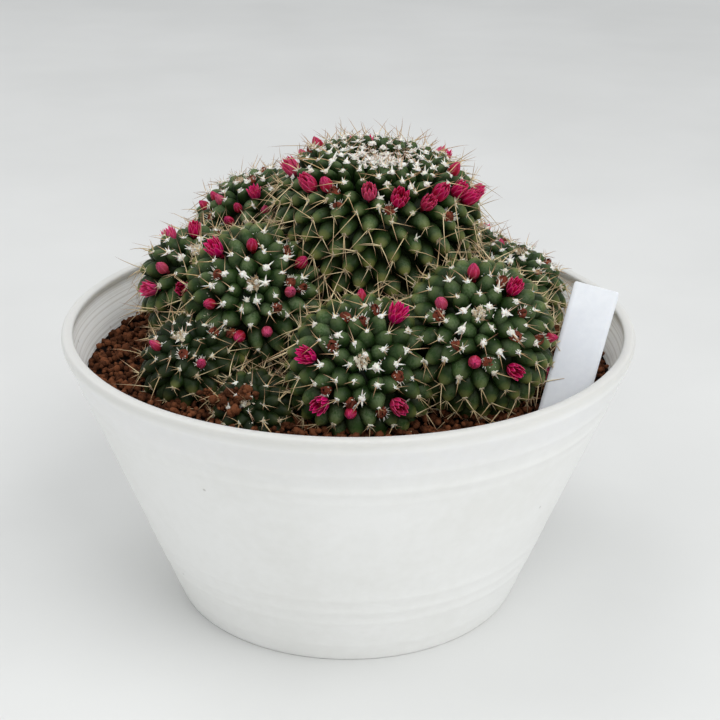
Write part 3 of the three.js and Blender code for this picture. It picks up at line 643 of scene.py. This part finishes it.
ratio = (1 + math.sqrt(5)) / 2
icosahedron = np.array([(0, a, b * ratio) for a in (-1, 1) for b in (-1, 1)], float)
icosahedron = unit(np.vstack([icosahedron, np.roll(icosahedron, 1, 1), np.roll(icosahedron, 2, 1)]))
apart = np.linalg.norm(icosahedron[:, None] - icosahedron[None], axis=-1) < 1.2
ico_faces = np.array([(i, j, k) for i in range(12) for j in range(i) for k in range(j)
                      if apart[i, j] and apart[j, k] and apart[i, k]])
flipped = np.einsum("fi,fi->f", icosahedron[ico_faces[:, 0]],
                    np.cross(icosahedron[ico_faces[:, 1]], icosahedron[ico_faces[:, 2]])) < 0
ico_faces[flipped] = ico_faces[flipped][:, ::-1]


def random_frames(count):
    """Directions of axes turned at random."""
    first = unit(rng.standard_normal((count, 3)))
    second = unit(np.cross(first, rng.standard_normal((count, 3))))
    return np.stack([first, second, np.cross(first, second)], 1)


def lumps(centres, sizes, uneven):
    """Small uneven lumps: icosahedra turned at random, with each corner moved in or out by a share."""
    shape = icosahedron[None] * (1 + uneven * rng.uniform(-1, 1, (len(centres), 12, 1)))
    points, faces = copied(shape, [ico_faces], centres, random_frames(len(centres)), sizes)
    return points, faces, {"tint": np.repeat(rng.random((len(centres), 1)), 12, 1)}


def spread_out(count, reach):
    """The angles and radii of places spread evenly over a disc: the angle goes on by the golden angle, and
    the radius is reach times the square root of the share passed."""
    number = np.arange(count)
    return number * golden_angle, reach * np.sqrt((number + 0.5) / count)


count = 6200
angle, radius = spread_out(count, edge - 2.2)
spots = np.stack([radius * np.cos(angle), radius * np.sin(angle), np.full(count, soil_level)], -1)
spots[:, :2] += rng.uniform(-1.2, 1.2, (count, 2))
spots[:, 2] += rng.uniform(-1.2, 1.2, count) + np.where(np.arange(count) % 3 == 0, 1.6, 0)
covered = np.maximum.reduce([depth_inside(head, spots) for head in heads.values()])
spots = spots[(covered < 4) & (np.hypot(spots[:, 0], spots[:, 1]) < edge - 1.8)]

# Some of it has spilt in heaps over the low heads at the front.
heaps = {
    "offset_low_left": [(284, 40), (290, 46)],
    "offset_low_front": [(152, 14), (150, 6), (174, 13), (80, 3), (46, 5), (214, 6)],
}
heap = [place_on(heads[name], math.radians(turn), np.float64(way), 2.0)[0]
        for name, places in heaps.items() for turn, way in places]
heap = np.repeat(np.array(heap), 14, 0)
heap += rng.normal(0, 1, heap.shape) * (3.2, 3.2, 1.3)
spots = np.vstack([spots, heap])
sizes = rng.triangular(0.9, 1.5, 3.1, (len(spots), 1)) * rng.uniform(0.75, 1.25, (len(spots), 3))
points, faces, values = lumps(spots, sizes, 0.18)
make_piece("soil_granules", points, faces, soil_brown, values)


# Wool
#
# White wool fills the areole on each tubercle's tip and stands out of it like a star. It is thick when
# young, and yellow and thin with wear when old; on the two low heads by the rim it is painted browner, as
# shade. More of it lies in the axils where blooms come out.

wool_white, tree, shader = new_finish(
    "white_wool", Specular_IOR_Level=0.1, Roughness=0.95, Sheen_Weight=0.3, Sheen_Roughness=0.5,
    Subsurface_Weight=0.1, Subsurface_Scale=0.002,
)
wear_and_shade = carried(tree, "wear_and_shade")
felt = drifting(tree, (0.72, 0.68, 0.60), (0.92, 0.90, 0.85), 500.0, 2500.0, 0.9)
dress(
    shader,
    Base_Color=layered(
        tree, felt["Color"],
        # wear turns the wool yellow, then brown; on the two low heads by the rim the brown is painted shade
        (wear_and_shade, 0.0, 0.5, 0.0, 1.0, (0.60, 0.53, 0.38)),
        (wear_and_shade, 0.5, 1.0, 0.0, 1.0, (0.24, 0.15, 0.075)),
    ),
    Normal=bumped(tree, felt["Height"], 0.6, 0.0005),
)
needle_points = 10


def needles(roots, directions, lengths, bends, radii):
    """Needles of ten points along parabolas: the middle line at share t is root + direction length t +
    bend t^2, and the three-sided section has the radius times (1 - t)^0.6 before it closes in a point.
    Returns the shares too, one a point."""
    count = len(roots)
    share = np.array([0, 0.35, 0.7])
    side = unit(np.cross(directions, rng.standard_normal((count, 3))))
    other = np.cross(directions, side)
    line = roots[:, None] + directions[:, None] * (lengths[:, None] * share)[..., None]
    line += bends[:, None] * (share**2)[None, :, None]
    angle = np.arange(3) * 2 * np.pi / 3
    ring = side[:, None] * np.cos(angle)[None, :, None] + other[:, None] * np.sin(angle)[None, :, None]
    thick = radii[:, None] * (1 - share) ** 0.6
    points = line[:, :, None] + ring[:, None] * thick[:, :, None, None]
    ends = roots + directions * lengths[:, None] + bends
    points = np.concatenate([points.reshape(count, 9, 3), ends[:, None]], 1)
    quads = grid_faces(3, 3, closed=True)
    tips = np.array([(6, 7, 9), (7, 8, 9), (8, 6, 9)])
    offsets = np.arange(count)[:, None, None] * needle_points
    faces = [(part[None] + offsets).reshape(-1, part.shape[1]) for part in (quads, tips)]
    return points.reshape(-1, 3), faces, np.tile(np.append(np.repeat(share, 3), 1.0), count)


def tufts(centres, frames, radius, height, ragged, wear_and_shade):
    """Tufts of wool: low knobs of two rings whose corners are drawn out or in by a ragged share."""
    shape, faces = knob([(0, 0.9), (0.45, 0.85), (0.85, 0.45)], 9, 1.9, 1.9)
    shape = np.repeat(shape[None], len(centres), 0)
    shape[:, :, :2] *= 1 + ragged * rng.uniform(-0.7, 1.3, (*shape.shape[:2], 1))
    shape[:, :, 2] *= 1 + 0.4 * rng.uniform(-1, 1, shape.shape[:2])
    points, faces = copied(shape, faces, centres, frames, np.stack([radius, radius, height], 1))
    return points, faces, {"wear_and_shade": np.repeat(wear_and_shade[:, None], shape.shape[1], 1)}


def stars(centres, frames, size, wear_and_shade):
    """Tufts with pointed locks of wool: round each centre the locks part evenly, with a draw on each
    one's angle, lift, length and width, and a ragged knob covers their roots. They are longer up and
    down the tubercle than across it, and few of them stand far out."""
    count, locks = len(centres), 9
    turn = np.arange(locks) + rng.uniform(-0.45, 0.45, (count, locks)) + rng.uniform(0, locks, (count, 1))
    turn = turn[..., None] * 2 * np.pi / locks
    out = np.cos(turn) * frames[:, None, 0] + 1.35 * np.sin(turn) * frames[:, None, 1]
    length = size[:, None] * np.linalg.norm(out, axis=-1) * (0.6 + 1.25 * rng.random((count, locks)) ** 3)
    out = unit(out + rng.uniform(0.1, 1.1, (count, locks, 1)) * frames[:, None, 2]).reshape(-1, 3)
    broad = size[:, None] * rng.uniform(0.2, 0.4, (count, locks))
    points, faces, _ = needles(np.repeat(centres, locks, 0), out, length.ravel(), 0 * out, broad.ravel())
    values = {"wear_and_shade": np.repeat(wear_and_shade, needle_points * locks)}
    return joined([tufts(centres, frames, 0.63 * size, 0.6 * size, 0.45, wear_and_shade), (points, faces, values)])


for name, head in heads.items():
    grown, shown = head["tubercles"], head["tubercles"]["shown"]
    way, count = grown["way"][shown], len(shown)
    frames, on_main = head["frames"], name == "main_head"
    young = np.clip(1.3 - way / (0.9 * head["radius"]), 0, 1)
    # On the two shaded low heads the stars are small, and their wool is painted brown, as shade.
    shaded = head["shaded"]
    fullness = 0.2 if shaded else 1.15 if on_main else 1.0
    size = (1.5 + fullness * young) * rng.uniform(0.65, 1.35, count)
    wear_and_shade = np.clip((1.1 if shaded else 0.75) - 1.3 * young + rng.uniform(-0.15, 0.15, count), 0, 0.8)
    wool = [stars(head["tips"] - frames[:, 2] * 0.5, frames, size, wear_and_shade)]

    # Grey-white wool in the axils of the flowering zone, and all over the tall head's crown.
    axil = place_on(head, grown["around"][shown], np.maximum(way - 0.52 * grown["pitch"][shown], 0.1),
                    relief_at(way) * (0.4 if on_main else 0.72))[0]
    flowering = np.exp(-(((way - 0.8 * head["radius"]) / (0.35 * head["radius"])) ** 2))
    chance = np.where(on_main & (way < 26), np.interp(way, [13, 16], [1.0, 0.35]), 0.5 * flowering)
    woolly = np.flatnonzero(rng.random(count) < chance)
    wool.append(stars(axil[woolly], frames[woolly], rng.uniform(1.9, 3.2, len(woolly)),
                      rng.uniform(0.0, 0.25, len(woolly))))

    # The crown: white stars close together on the tall head, a little brown felt on the others.
    disc, reach, sunk = (18, 7.5, 2.0) if on_main else (12, 3.6, 0.9)
    spot, _ = place_on(head, *spread_out(disc, reach), np.full(disc, sunk))
    upright = np.repeat(head["axes"][None], disc, 0)
    wool.append(stars(spot, upright, np.full(disc, 3.0 if on_main else 1.7),
                      rng.uniform(0.0, 0.2, disc) if on_main else rng.uniform(0.1, 1.0, disc)))
    points, faces, values = joined(wool)
    make_piece(f"{name}_wool", points, faces, wool_white, values)


# Spines
#
# Two to five stiff needles stand out of each areole. Young ones are short, thin and red-brown at the
# point. Later one or two grow to two centimetres or more, bent, golden tan, and cross in the crevices.

spine_tan, tree, shader = new_finish("spine_horn", Specular_IOR_Level=0.4, Roughness=0.45)
along, pale = carried(tree, "along"), carried(tree, "pale")
horn = drifting(tree, (0.42, 0.25, 0.09), (0.78, 0.62, 0.34), 110.0, 1200.0, 0.5)
chalky, straw, point_brown = (0.66, 0.46, 0.34), (0.88, 0.76, 0.48), (0.25, 0.085, 0.045)
dress(
    shader,
    Base_Color=layered(
        tree, horn["Color"],
        (pale, 0.0, 1.0, 0.0, 1.0, chalky),
        (pale, -1.0, 0.0, 0.9, 0.0, straw),
        (along, 0.25, 0.9, 0.0, 0.85, point_brown),
    ),
)

# The label stands before the heads on the right: no spine lies over its face.
label_foot, label_width = np.array([115.5, -75, soil_level]), 25.0
label_up = unit(np.array([0.25, 0.274, 0.926]))
label_across = unit(np.array([0.968, -0.071, -0.24]))
label_facing = np.cross(label_across, label_up)

for name, head in heads.items():
    grown, shown = head["tubercles"], head["tubercles"]["shown"]
    way, count = grown["way"][shown], len(shown)
    rise, on_main = grown["rise"][shown], name == "main_head"
    across, upward, pointing = head["frames"].transpose(1, 0, 2)
    each = 5
    index, order = np.repeat(np.arange(count), each), np.tile(np.arange(each), count)
    number = len(order)
    old = np.clip(way / (1.1 * head["radius"]), 0, 1)[index]
    first, second = order == 0, (order == 1) & (rng.random(number) < 0.75)
    turn = order * 2 * np.pi / each + np.repeat(rng.uniform(0, 2 * np.pi, count), each)
    turn += rng.normal(0, 0.25, number)
    turn = np.where(first, -np.pi / 2 + rng.normal(0, 0.7 + 0.9 * old**2, number), turn)
    splay = np.where(first, 0.5 + 0.9 * old, 1.1) + rng.normal(0, 0.2, number)
    sideways = np.cos(turn)[:, None] * across[index] + np.sin(turn)[:, None] * upward[index]
    direction = unit(pointing[index] + splay[:, None] * sideways)
    length = rng.uniform(2.6, 8.0, number) * (0.85 + 0.3 * old)
    longest = 25 if on_main else 19
    length = np.where(first, 5 + (3 + longest * rng.random(number)) * old, length)
    second |= on_main & ((order == 2) & (old > 0.7) | (way[index] > 78))
    length = np.where(second, 5 + (5 + 15 * old**2) * rng.random(number), length)
    bend = -(rise[index] * 0.7 + pointing[index] * 0.4) * rng.uniform(0, 0.3, (number, 1))
    bend = (bend + rng.normal(0, 0.07, (number, 3))) * length[:, None]
    bend[length < 7] *= 0.3
    thick = np.where(length > 9, 0.32, 0.2) * rng.uniform(0.8, 1.15, number)
    pale = np.clip(0.75 - 1.2 * old, -0.45, 1) * rng.uniform(0.4, 2, number)
    keep = rng.random(number) < np.where(order < 2, 0.95, 0.75)
    keep &= (old > 0.3) | (order < (2 if on_main else 3))
    roots = head["tips"][index] - pointing[index] * 0.4
    end = roots + direction * length[:, None] + bend - label_foot
    keep &= (np.abs(end @ label_across) > label_width / 2 + 1.5) | (end @ label_facing < 0)
    points, faces, shares = needles(roots[keep], direction[keep], length[keep], bend[keep], thick[keep])
    spines = [(points, faces, {"along": shares, "pale": np.repeat(pale[keep], needle_points)})]

    # Fine young bristles that stand up out of the crown.
    bristles, reach = (36, 13.0) if on_main else (14, 3.0)
    spot, up = place_on(head, *spread_out(bristles, reach), np.full(bristles, 0.8))
    up = unit(up + 0.35 * rng.standard_normal((bristles, 3)))
    length = rng.uniform(3.5, 6.5, bristles)
    points, faces, shares = needles(spot, up, length, 0 * up, np.full(bristles, 0.17))
    pale = rng.uniform(0.5, 1.0, bristles) if on_main else rng.uniform(0.0, 0.4, bristles)
    spines.append((points, faces, {"along": shares, "pale": np.repeat(pale, needle_points)}))
    points, faces, values = joined(spines)
    make_piece(f"{name}_spines", points, faces, spine_tan, values)


# Blooms
#
# Small closed-in bells of three whorls of narrow, pointed petals on a short tube, deep crimson to
# magenta. Buds are two whorls of such petals wrapped to a point, darker red. A few have faded a little.

petal_crimson, tree, shader = new_finish(
    "bloom_petals", Specular_IOR_Level=0.15, Roughness=0.5, Subsurface_Weight=0.2,
    Subsurface_Scale=0.002,
)
across, along = carried(tree, "across"), carried(tree, "along")
stage, fade = carried(tree, "stage"), carried(tree, "fade")
crimson = drifting(tree, (0.31, 0.001, 0.020), (0.56, 0.002, 0.08), 180.0, 1500.0, 0.7)
bud_red, wide_magenta, tip_magenta = (0.34, 0.014, 0.022), (0.68, 0.003, 0.17), (0.68, 0.005, 0.22)
stripe, edge_pink, pale_pink, foot_brown = (
    (0.21, 0.001, 0.014), (0.82, 0.15, 0.26), (0.82, 0.24, 0.36), (0.22, 0.018, 0.010),
)
dress(
    shader,
    Base_Color=layered(
        tree, crimson["Color"],
        (stage, 0.0, 1.0, 0.0, 1.0, bud_red),
        (stage, -1.0, 0.0, 0.85, 0.0, wide_magenta),
        (along, 0.6, 1.0, 0.0, 0.45, tip_magenta),
        (across, 0.0, 0.5, 0.55, 0.0, stripe),
        (across, 0.6, 1.0, 0.0, 0.5, edge_pink),
        (fade, 0.0, 1.0, 0.0, 1.0, pale_pink),
        (along, 0.0, 0.45, 0.85, 0.0, foot_brown),
    ),
)


def whorl(count, first, path, width, cup, vary, twist=0.0):
    """A whorl of petals on a bell: the middle line of each is a cubic curve of radius and height, and
    across it the petal follows the bell round by width (0.5 + 0.75 v) (1 - v^3) and comes to a point.
    Its edges are moved out by cup, vary opens and lengthens each petal by its own draw, and twist turns
    its tip about the bell."""
    rows, columns = 8, 5
    v = np.linspace(0, 1, rows)[None, :, None]
    u = np.linspace(-1, 1, columns)[None, None, :]
    a, b, c, d = (np.array(point)[:, None, None, None] for point in path)
    radius, height = (1 - v) ** 3 * a + 3 * v * (1 - v) ** 2 * b + 3 * v**2 * (1 - v) * c + v**3 * d
    open_out = 1 + vary * rng.uniform(-1, 1, (count, 1, 1)) * v**2
    radius = radius * open_out + cup * u**2 * v
    height = height * (1 + 0.4 * vary * rng.uniform(-1, 1, (count, 1, 1)) * v)
    half = width * (0.5 + 0.75 * v) * (1 - v**3) + 0.04
    turn = first + np.arange(count)[:, None, None] * 2 * np.pi / count
    turn = turn + rng.normal(0, 0.06, (count, 1, 1))
    angle = turn + twist * v + u * half / np.maximum(radius, 1.2)
    points = [radius * np.cos(angle), radius * np.sin(angle), height + 0 * u]
    points = np.stack(np.broadcast_arrays(*points), -1)
    size = points.shape[:3]
    offsets = np.arange(count)[:, None, None] * rows * columns
    faces = (grid_faces(rows, columns)[None] + offsets).reshape(-1, 4)
    values = {"across": np.broadcast_to(np.abs(u), size), "along": np.broadcast_to(v, size)}
    return points.reshape(-1, 3), [faces[:, ::-1]], values


def bloom_shape(kind, flare):
    """A bloom standing on the origin: a tube, then three whorls in an open one and two in a bud. flare
    is how far the tips of the open one's petals stand out of its bell."""
    open_top, bud_top = [(2.2, 5), (2.0, 9), (0, 10)], [(3.1, 5), (3.2, 8), (0.7, 12.2), (0, 12.5)]
    top = open_top if kind == "open" else bud_top
    tube = turned(np.array([(0, -1.5), (1.5, -1.5), (1.7, 0), (1.9, 3), *top]), 12)
    outer, middle, inner = (4.8 + flare, 14.4), (3.8 + 0.9 * flare, 16.0), (2.4 + 0.5 * flare, 15.8)
    whorls = [
        (7, 0.0, [(1.6, 2.5), (5.6, 4.0), (4.9, 10.0), outer], 2.7, 0.15, 0.12),
        (7, 0.45, [(1.4, 3.0), (4.7, 5.0), (4.1, 11.0), middle], 2.3, 0.1, 0.14),
        (5, 0.2, [(1.0, 4.0), (3.3, 7.0), (2.9, 11.5), inner], 1.8, 0.1, 0.15),
    ] if kind == "open" else [
        (6, 0.0, [(1.4, 2.0), (5.0, 3.5), (4.9, 10.5), (0.2, 13.6)], 2.9, 0.15, 0.05, 0.5),
        (6, 0.5, [(1.2, 2.6), (4.3, 4.5), (4.2, 11.2), (0.15, 14.3)], 2.7, 0.1, 0.05, 0.5),
    ]
    tube_values = {"across": np.zeros(len(tube[0])), "along": np.full(len(tube[0]), 0.2)}
    return joined([(*tube, tube_values), *(whorl(*sizes) for sizes in whorls)])


def bloom_stance(head, seat):
    """Where a bloom on a seat stands, and its axes: it leans from the surface towards the crown."""
    grown = head["tubercles"]
    root = grown["point"][seat] - grown["normal"][seat] * (relief_at(grown["way"][seat]) - 0.3)
    up = unit(grown["normal"][seat] + 0.2 * head["axes"][2])
    side = unit(np.cross(head["axes"][2], up))
    return root, np.stack([side, np.cross(up, side), up])


def between(head, degrees, way):
    """A place low amid the three tubercles nearest to an angle and a way, and the axes there."""
    grown = head["tubercles"]
    spot, up = place_on(head, np.radians(degrees), np.float64(way), 0.0)
    nearest = np.argsort(np.linalg.norm(grown["point"] - spot, axis=1))[:3]
    up = unit(up + 0.15 * head["axes"][2])
    side = unit(np.cross(head["axes"][2], up))
    root = grown["point"][nearest].mean(0) - up * (relief_at(way) - 0.6)
    return root, np.stack([side, np.cross(up, side), up])


def spun(points):
    """Points turned about Z by a draw of the angle."""
    turn = rng.uniform(0, 2 * np.pi)
    c, s = math.cos(turn), math.sin(turn)
    return points @ np.array([(c, s, 0), (-s, c, 0), (0, 0, 1)])


def thicken(piece, thickness, offset=-1.0):
    """Gives an open surface a thickness, in metres."""
    wall = piece.modifiers.new("thickness", "SOLIDIFY")
    wall.thickness, wall.offset = thickness, offset


petal_thickness = 0.00018
for name, head in heads.items():
    for i, ((kind, *_), seat) in enumerate(zip(head["blooms"], head["seats"]), 1):
        root, axes = bloom_stance(head, seat)
        flare = rng.uniform(-1.4, 0.4) if name == "main_head" else rng.uniform(-0.2, 2.4)
        points, faces, values = bloom_shape(kind, flare)
        opened = -max(flare, 0) / 2 if kind == "open" else rng.uniform(0.4, 1.0)
        values["stage"] = np.full(len(points), opened)
        values["fade"] = np.full(len(points), rng.choice([0.0, 0.0, 0.0, 0.06, 0.16]))
        size = rng.uniform(0.8, 0.95) * {"main_head": 1.0, "offset_left_back": 0.75}.get(name, 0.92)
        points, node = spun(points * size) @ axes + root, f"{kind}_bloom_{name}_{i}"
        piece = make_piece(f"{node}_petals", points, faces, petal_crimson, values)
        thicken(piece, petal_thickness)
        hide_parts(node)

# Small buds that have only just come out of their axils.
small_buds = {
    "offset_low_left": [(174, 19), (298, 25)],
    "offset_right": [(350, 52)],
    "offset_left_back": [(220, 20), (300, 38)],
    "offset_back": [(60, 30), (150, 26)],
    "offset_back_right": [(100, 26), (10, 30)],
    "offset_right_back": [(110, 24), (60, 34)],
    "main_head": [(120, 48), (75, 46), (40, 44)],
}
parts = []
for name, places in small_buds.items():
    for degrees, way in places:
        root, axes = between(heads[name], degrees, way)
        points, faces, values = bloom_shape("bud", 0)
        values["stage"] = np.full(len(points), rng.uniform(0.5, 1.0))
        values["fade"] = np.full(len(points), rng.uniform(0.0, 0.2))
        parts.append((spun(points * (0.68, 0.68, 0.74)) @ axes + root, faces, values))
points, faces, values = joined(parts)
thicken(make_piece("small_buds", points, faces, petal_crimson, values), petal_thickness)


# Dried blooms
#
# Spent blooms shrivel to rust-brown stubs down in the axils, each in a collar of grey-white wool.

stub_brown, tree, shader = new_finish("dried_petals", Specular_IOR_Level=0.15, Roughness=0.9)
husk = drifting(tree, (0.14, 0.026, 0.014), (0.36, 0.085, 0.042), 260.0, 1500.0, 0.8)
crisp_tips = (carried(tree, "along"), 0.5, 1.0, 0.0, 0.7, (0.055, 0.018, 0.012))
dress(
    shader,
    Base_Color=layered(tree, husk["Color"], crisp_tips),
    Normal=bumped(tree, husk["Height"], 0.6, 0.0005),
)

stubs = {
    "offset_low_left": [(298, 24), (356, 22), (278, 12)],
    "offset_front": [(114, 31), (72, 31), (96, 22), (148, 21), (210, 26), (344, 28), (294, 29), (244, 24)],
    "offset_right": [(238, 20), (280, 29), (346, 39), (358, 25), (324, 26), (176, 20), (60, 28)],
    "offset_left_front": [(8, 23), (300, 21), (166, 22), (244, 31), (352, 29), (60, 30)],
    "offset_left": [(290, 22), (70, 26)],
    "offset_right_back": [(320, 22), (90, 26), (20, 20)],
    "offset_left_back": [(6, 10), (220, 33), (110, 24), (60, 28)],
    "offset_back": [(40, 20), (120, 26), (200, 22)],
    "offset_back_right": [(20, 18), (90, 26), (330, 22)],
    "main_head": [(232, 53), (244, 57), (276, 59), (312, 62), (60, 54), (110, 56), (150, 58)],
}
parts, collars, hairs = [], [], 26
for name, places in stubs.items():
    for degrees, way in places:
        root, axes = between(heads[name], degrees, way)
        top = relief_at(way) * rng.uniform(0.85, 1.05)
        broad = rng.uniform(2.9, 3.8)
        path = [(1.2, 0.0), (broad * 1.2, 0.25 * top), (broad * 1.1, 0.8 * top), (0.5, top)]
        points, faces, values = whorl(7, 0.0, path, 1.9, -0.2, 0.3, 0.4)
        parts.append((spun(points) @ axes + root, faces, {"along": values["along"]}))
        turn = rng.uniform(0, 2 * np.pi, hairs)[:, None]
        out = np.cos(turn) * axes[0] + np.sin(turn) * axes[1]
        foot = root + rng.uniform(0.35, 0.85, (hairs, 1)) * top * axes[2] + out * broad * 0.8
        hair = 0.9 * axes[2] + rng.uniform(0.2, 0.8, (hairs, 1)) * out
        hair = unit(hair + 0.25 * rng.standard_normal((hairs, 3)))
        length = rng.uniform(2.0, 3.8, hairs)
        points, faces, _ = needles(foot, hair, length, 0 * hair, rng.uniform(0.25, 0.5, hairs))
        collars.append((points, faces, {"wear_and_shade": np.full(len(points), 0.15)}))
points, faces, values = joined(parts)
thicken(make_piece("dried_blooms", points, faces, stub_brown, values), 0.0002)
points, faces, values = joined(collars)
make_piece("dried_bloom_wool", points, faces, wool_white, values)


# Label
#
# A strip of thin white plastic with a point, pushed into the soil between the clump and the wall. It
# leans a little back and to the right.

label_white, tree, shader = new_finish("label_plastic", Specular_IOR_Level=0.45, Subsurface_Weight=0.05)
sheet = drifting(tree, (0.76, 0.78, 0.82), (0.83, 0.85, 0.88), 40.0, 300.0, 0.4)
dress(shader, Base_Color=sheet["Color"], Roughness=ranged(tree, sheet["Height"], 0.3, 0.7, 0.3, 0.42))

# Up the strip run the point, the straight edges and the rounded corners. Across it bows half a
# millimetre.
v = np.concatenate([np.linspace(-25, -6, 6), np.linspace(-4, 70, 24), [71.2, 71.9, 72.3, 72.5]])
drawn_in = np.interp(v, [-25, -6, 70.9, 71.2, 71.9, 72.3, 72.5], [12.1, 0, 0, 0.05, 0.3, 0.6, 1.0])
u = np.linspace(-1, 1, 11)
aside = (label_width / 2 - drawn_in)[:, None] * u
bow = 0.5 * (u**2 - 0.4) * np.ones((len(v), 1))
grid = label_foot + aside[..., None] * label_across + v[:, None, None] * label_up
grid += bow[..., None] * label_facing
label = make_piece("label_strip", grid.reshape(-1, 3), [grid_faces(len(v), 11)], label_white)
thicken(label, 0.0008, 0.0)
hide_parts("plant_label")


# Paper, light and camera
#
# The pot stands on a sweep of pale paper. Soft daylight comes from above and a little from the right.

paper, tree, shader = new_finish("pale_paper", Roughness=0.8, Specular_IOR_Level=0.2)
dress(shader, Base_Color=drifting(tree, (0.655, 0.66, 0.65), (0.70, 0.705, 0.695), 1.6, 6.0, 0.5)["Color"])
bpy.ops.mesh.primitive_plane_add(size=9.0)
floor = bpy.context.object
floor.name = "paper_floor"
floor.data.materials.append(paper)

world = bpy.data.worlds.new("daylight")
world.use_nodes = True
dress(world.node_tree.nodes["Background"], Color=(0.97, 0.985, 1.0), Strength=0.72)
bpy.context.scene.world = world
lamps = ("window", (0.9, -1.1, 1.9), 1.6, 26.0), ("sky_light", (-0.9, 0.3, 2.2), 2.0, 14.0)
for name, place, size, power in lamps:
    lamp = bpy.data.lights.new(name, "AREA")
    lamp.size, lamp.energy = size, power
    lit = bpy.data.objects.new(name, lamp)
    lit.location = place
    lit.rotation_euler = (Vector((0, 0, 0.15)) - Vector(place)).to_track_quat("-Z", "Y").to_euler()
    bpy.context.scene.collection.objects.link(lit)

camera = bpy.data.objects.new("camera", bpy.data.cameras.new("camera"))
camera.data.lens, camera.data.sensor_width, camera.data.shift_x = 75.0, 36.0, 0.0164
camera.location = (0, -0.813, 0.487)
tilt = Matrix.Rotation(math.radians(66.85), 3, "X") @ Matrix.Rotation(math.radians(0.4), 3, "Z")
camera.rotation_euler = tilt.to_euler()
bpy.context.scene.collection.objects.link(camera)
bpy.context.scene.camera = camera
bpy.context.scene.view_settings.view_transform = "Standard"
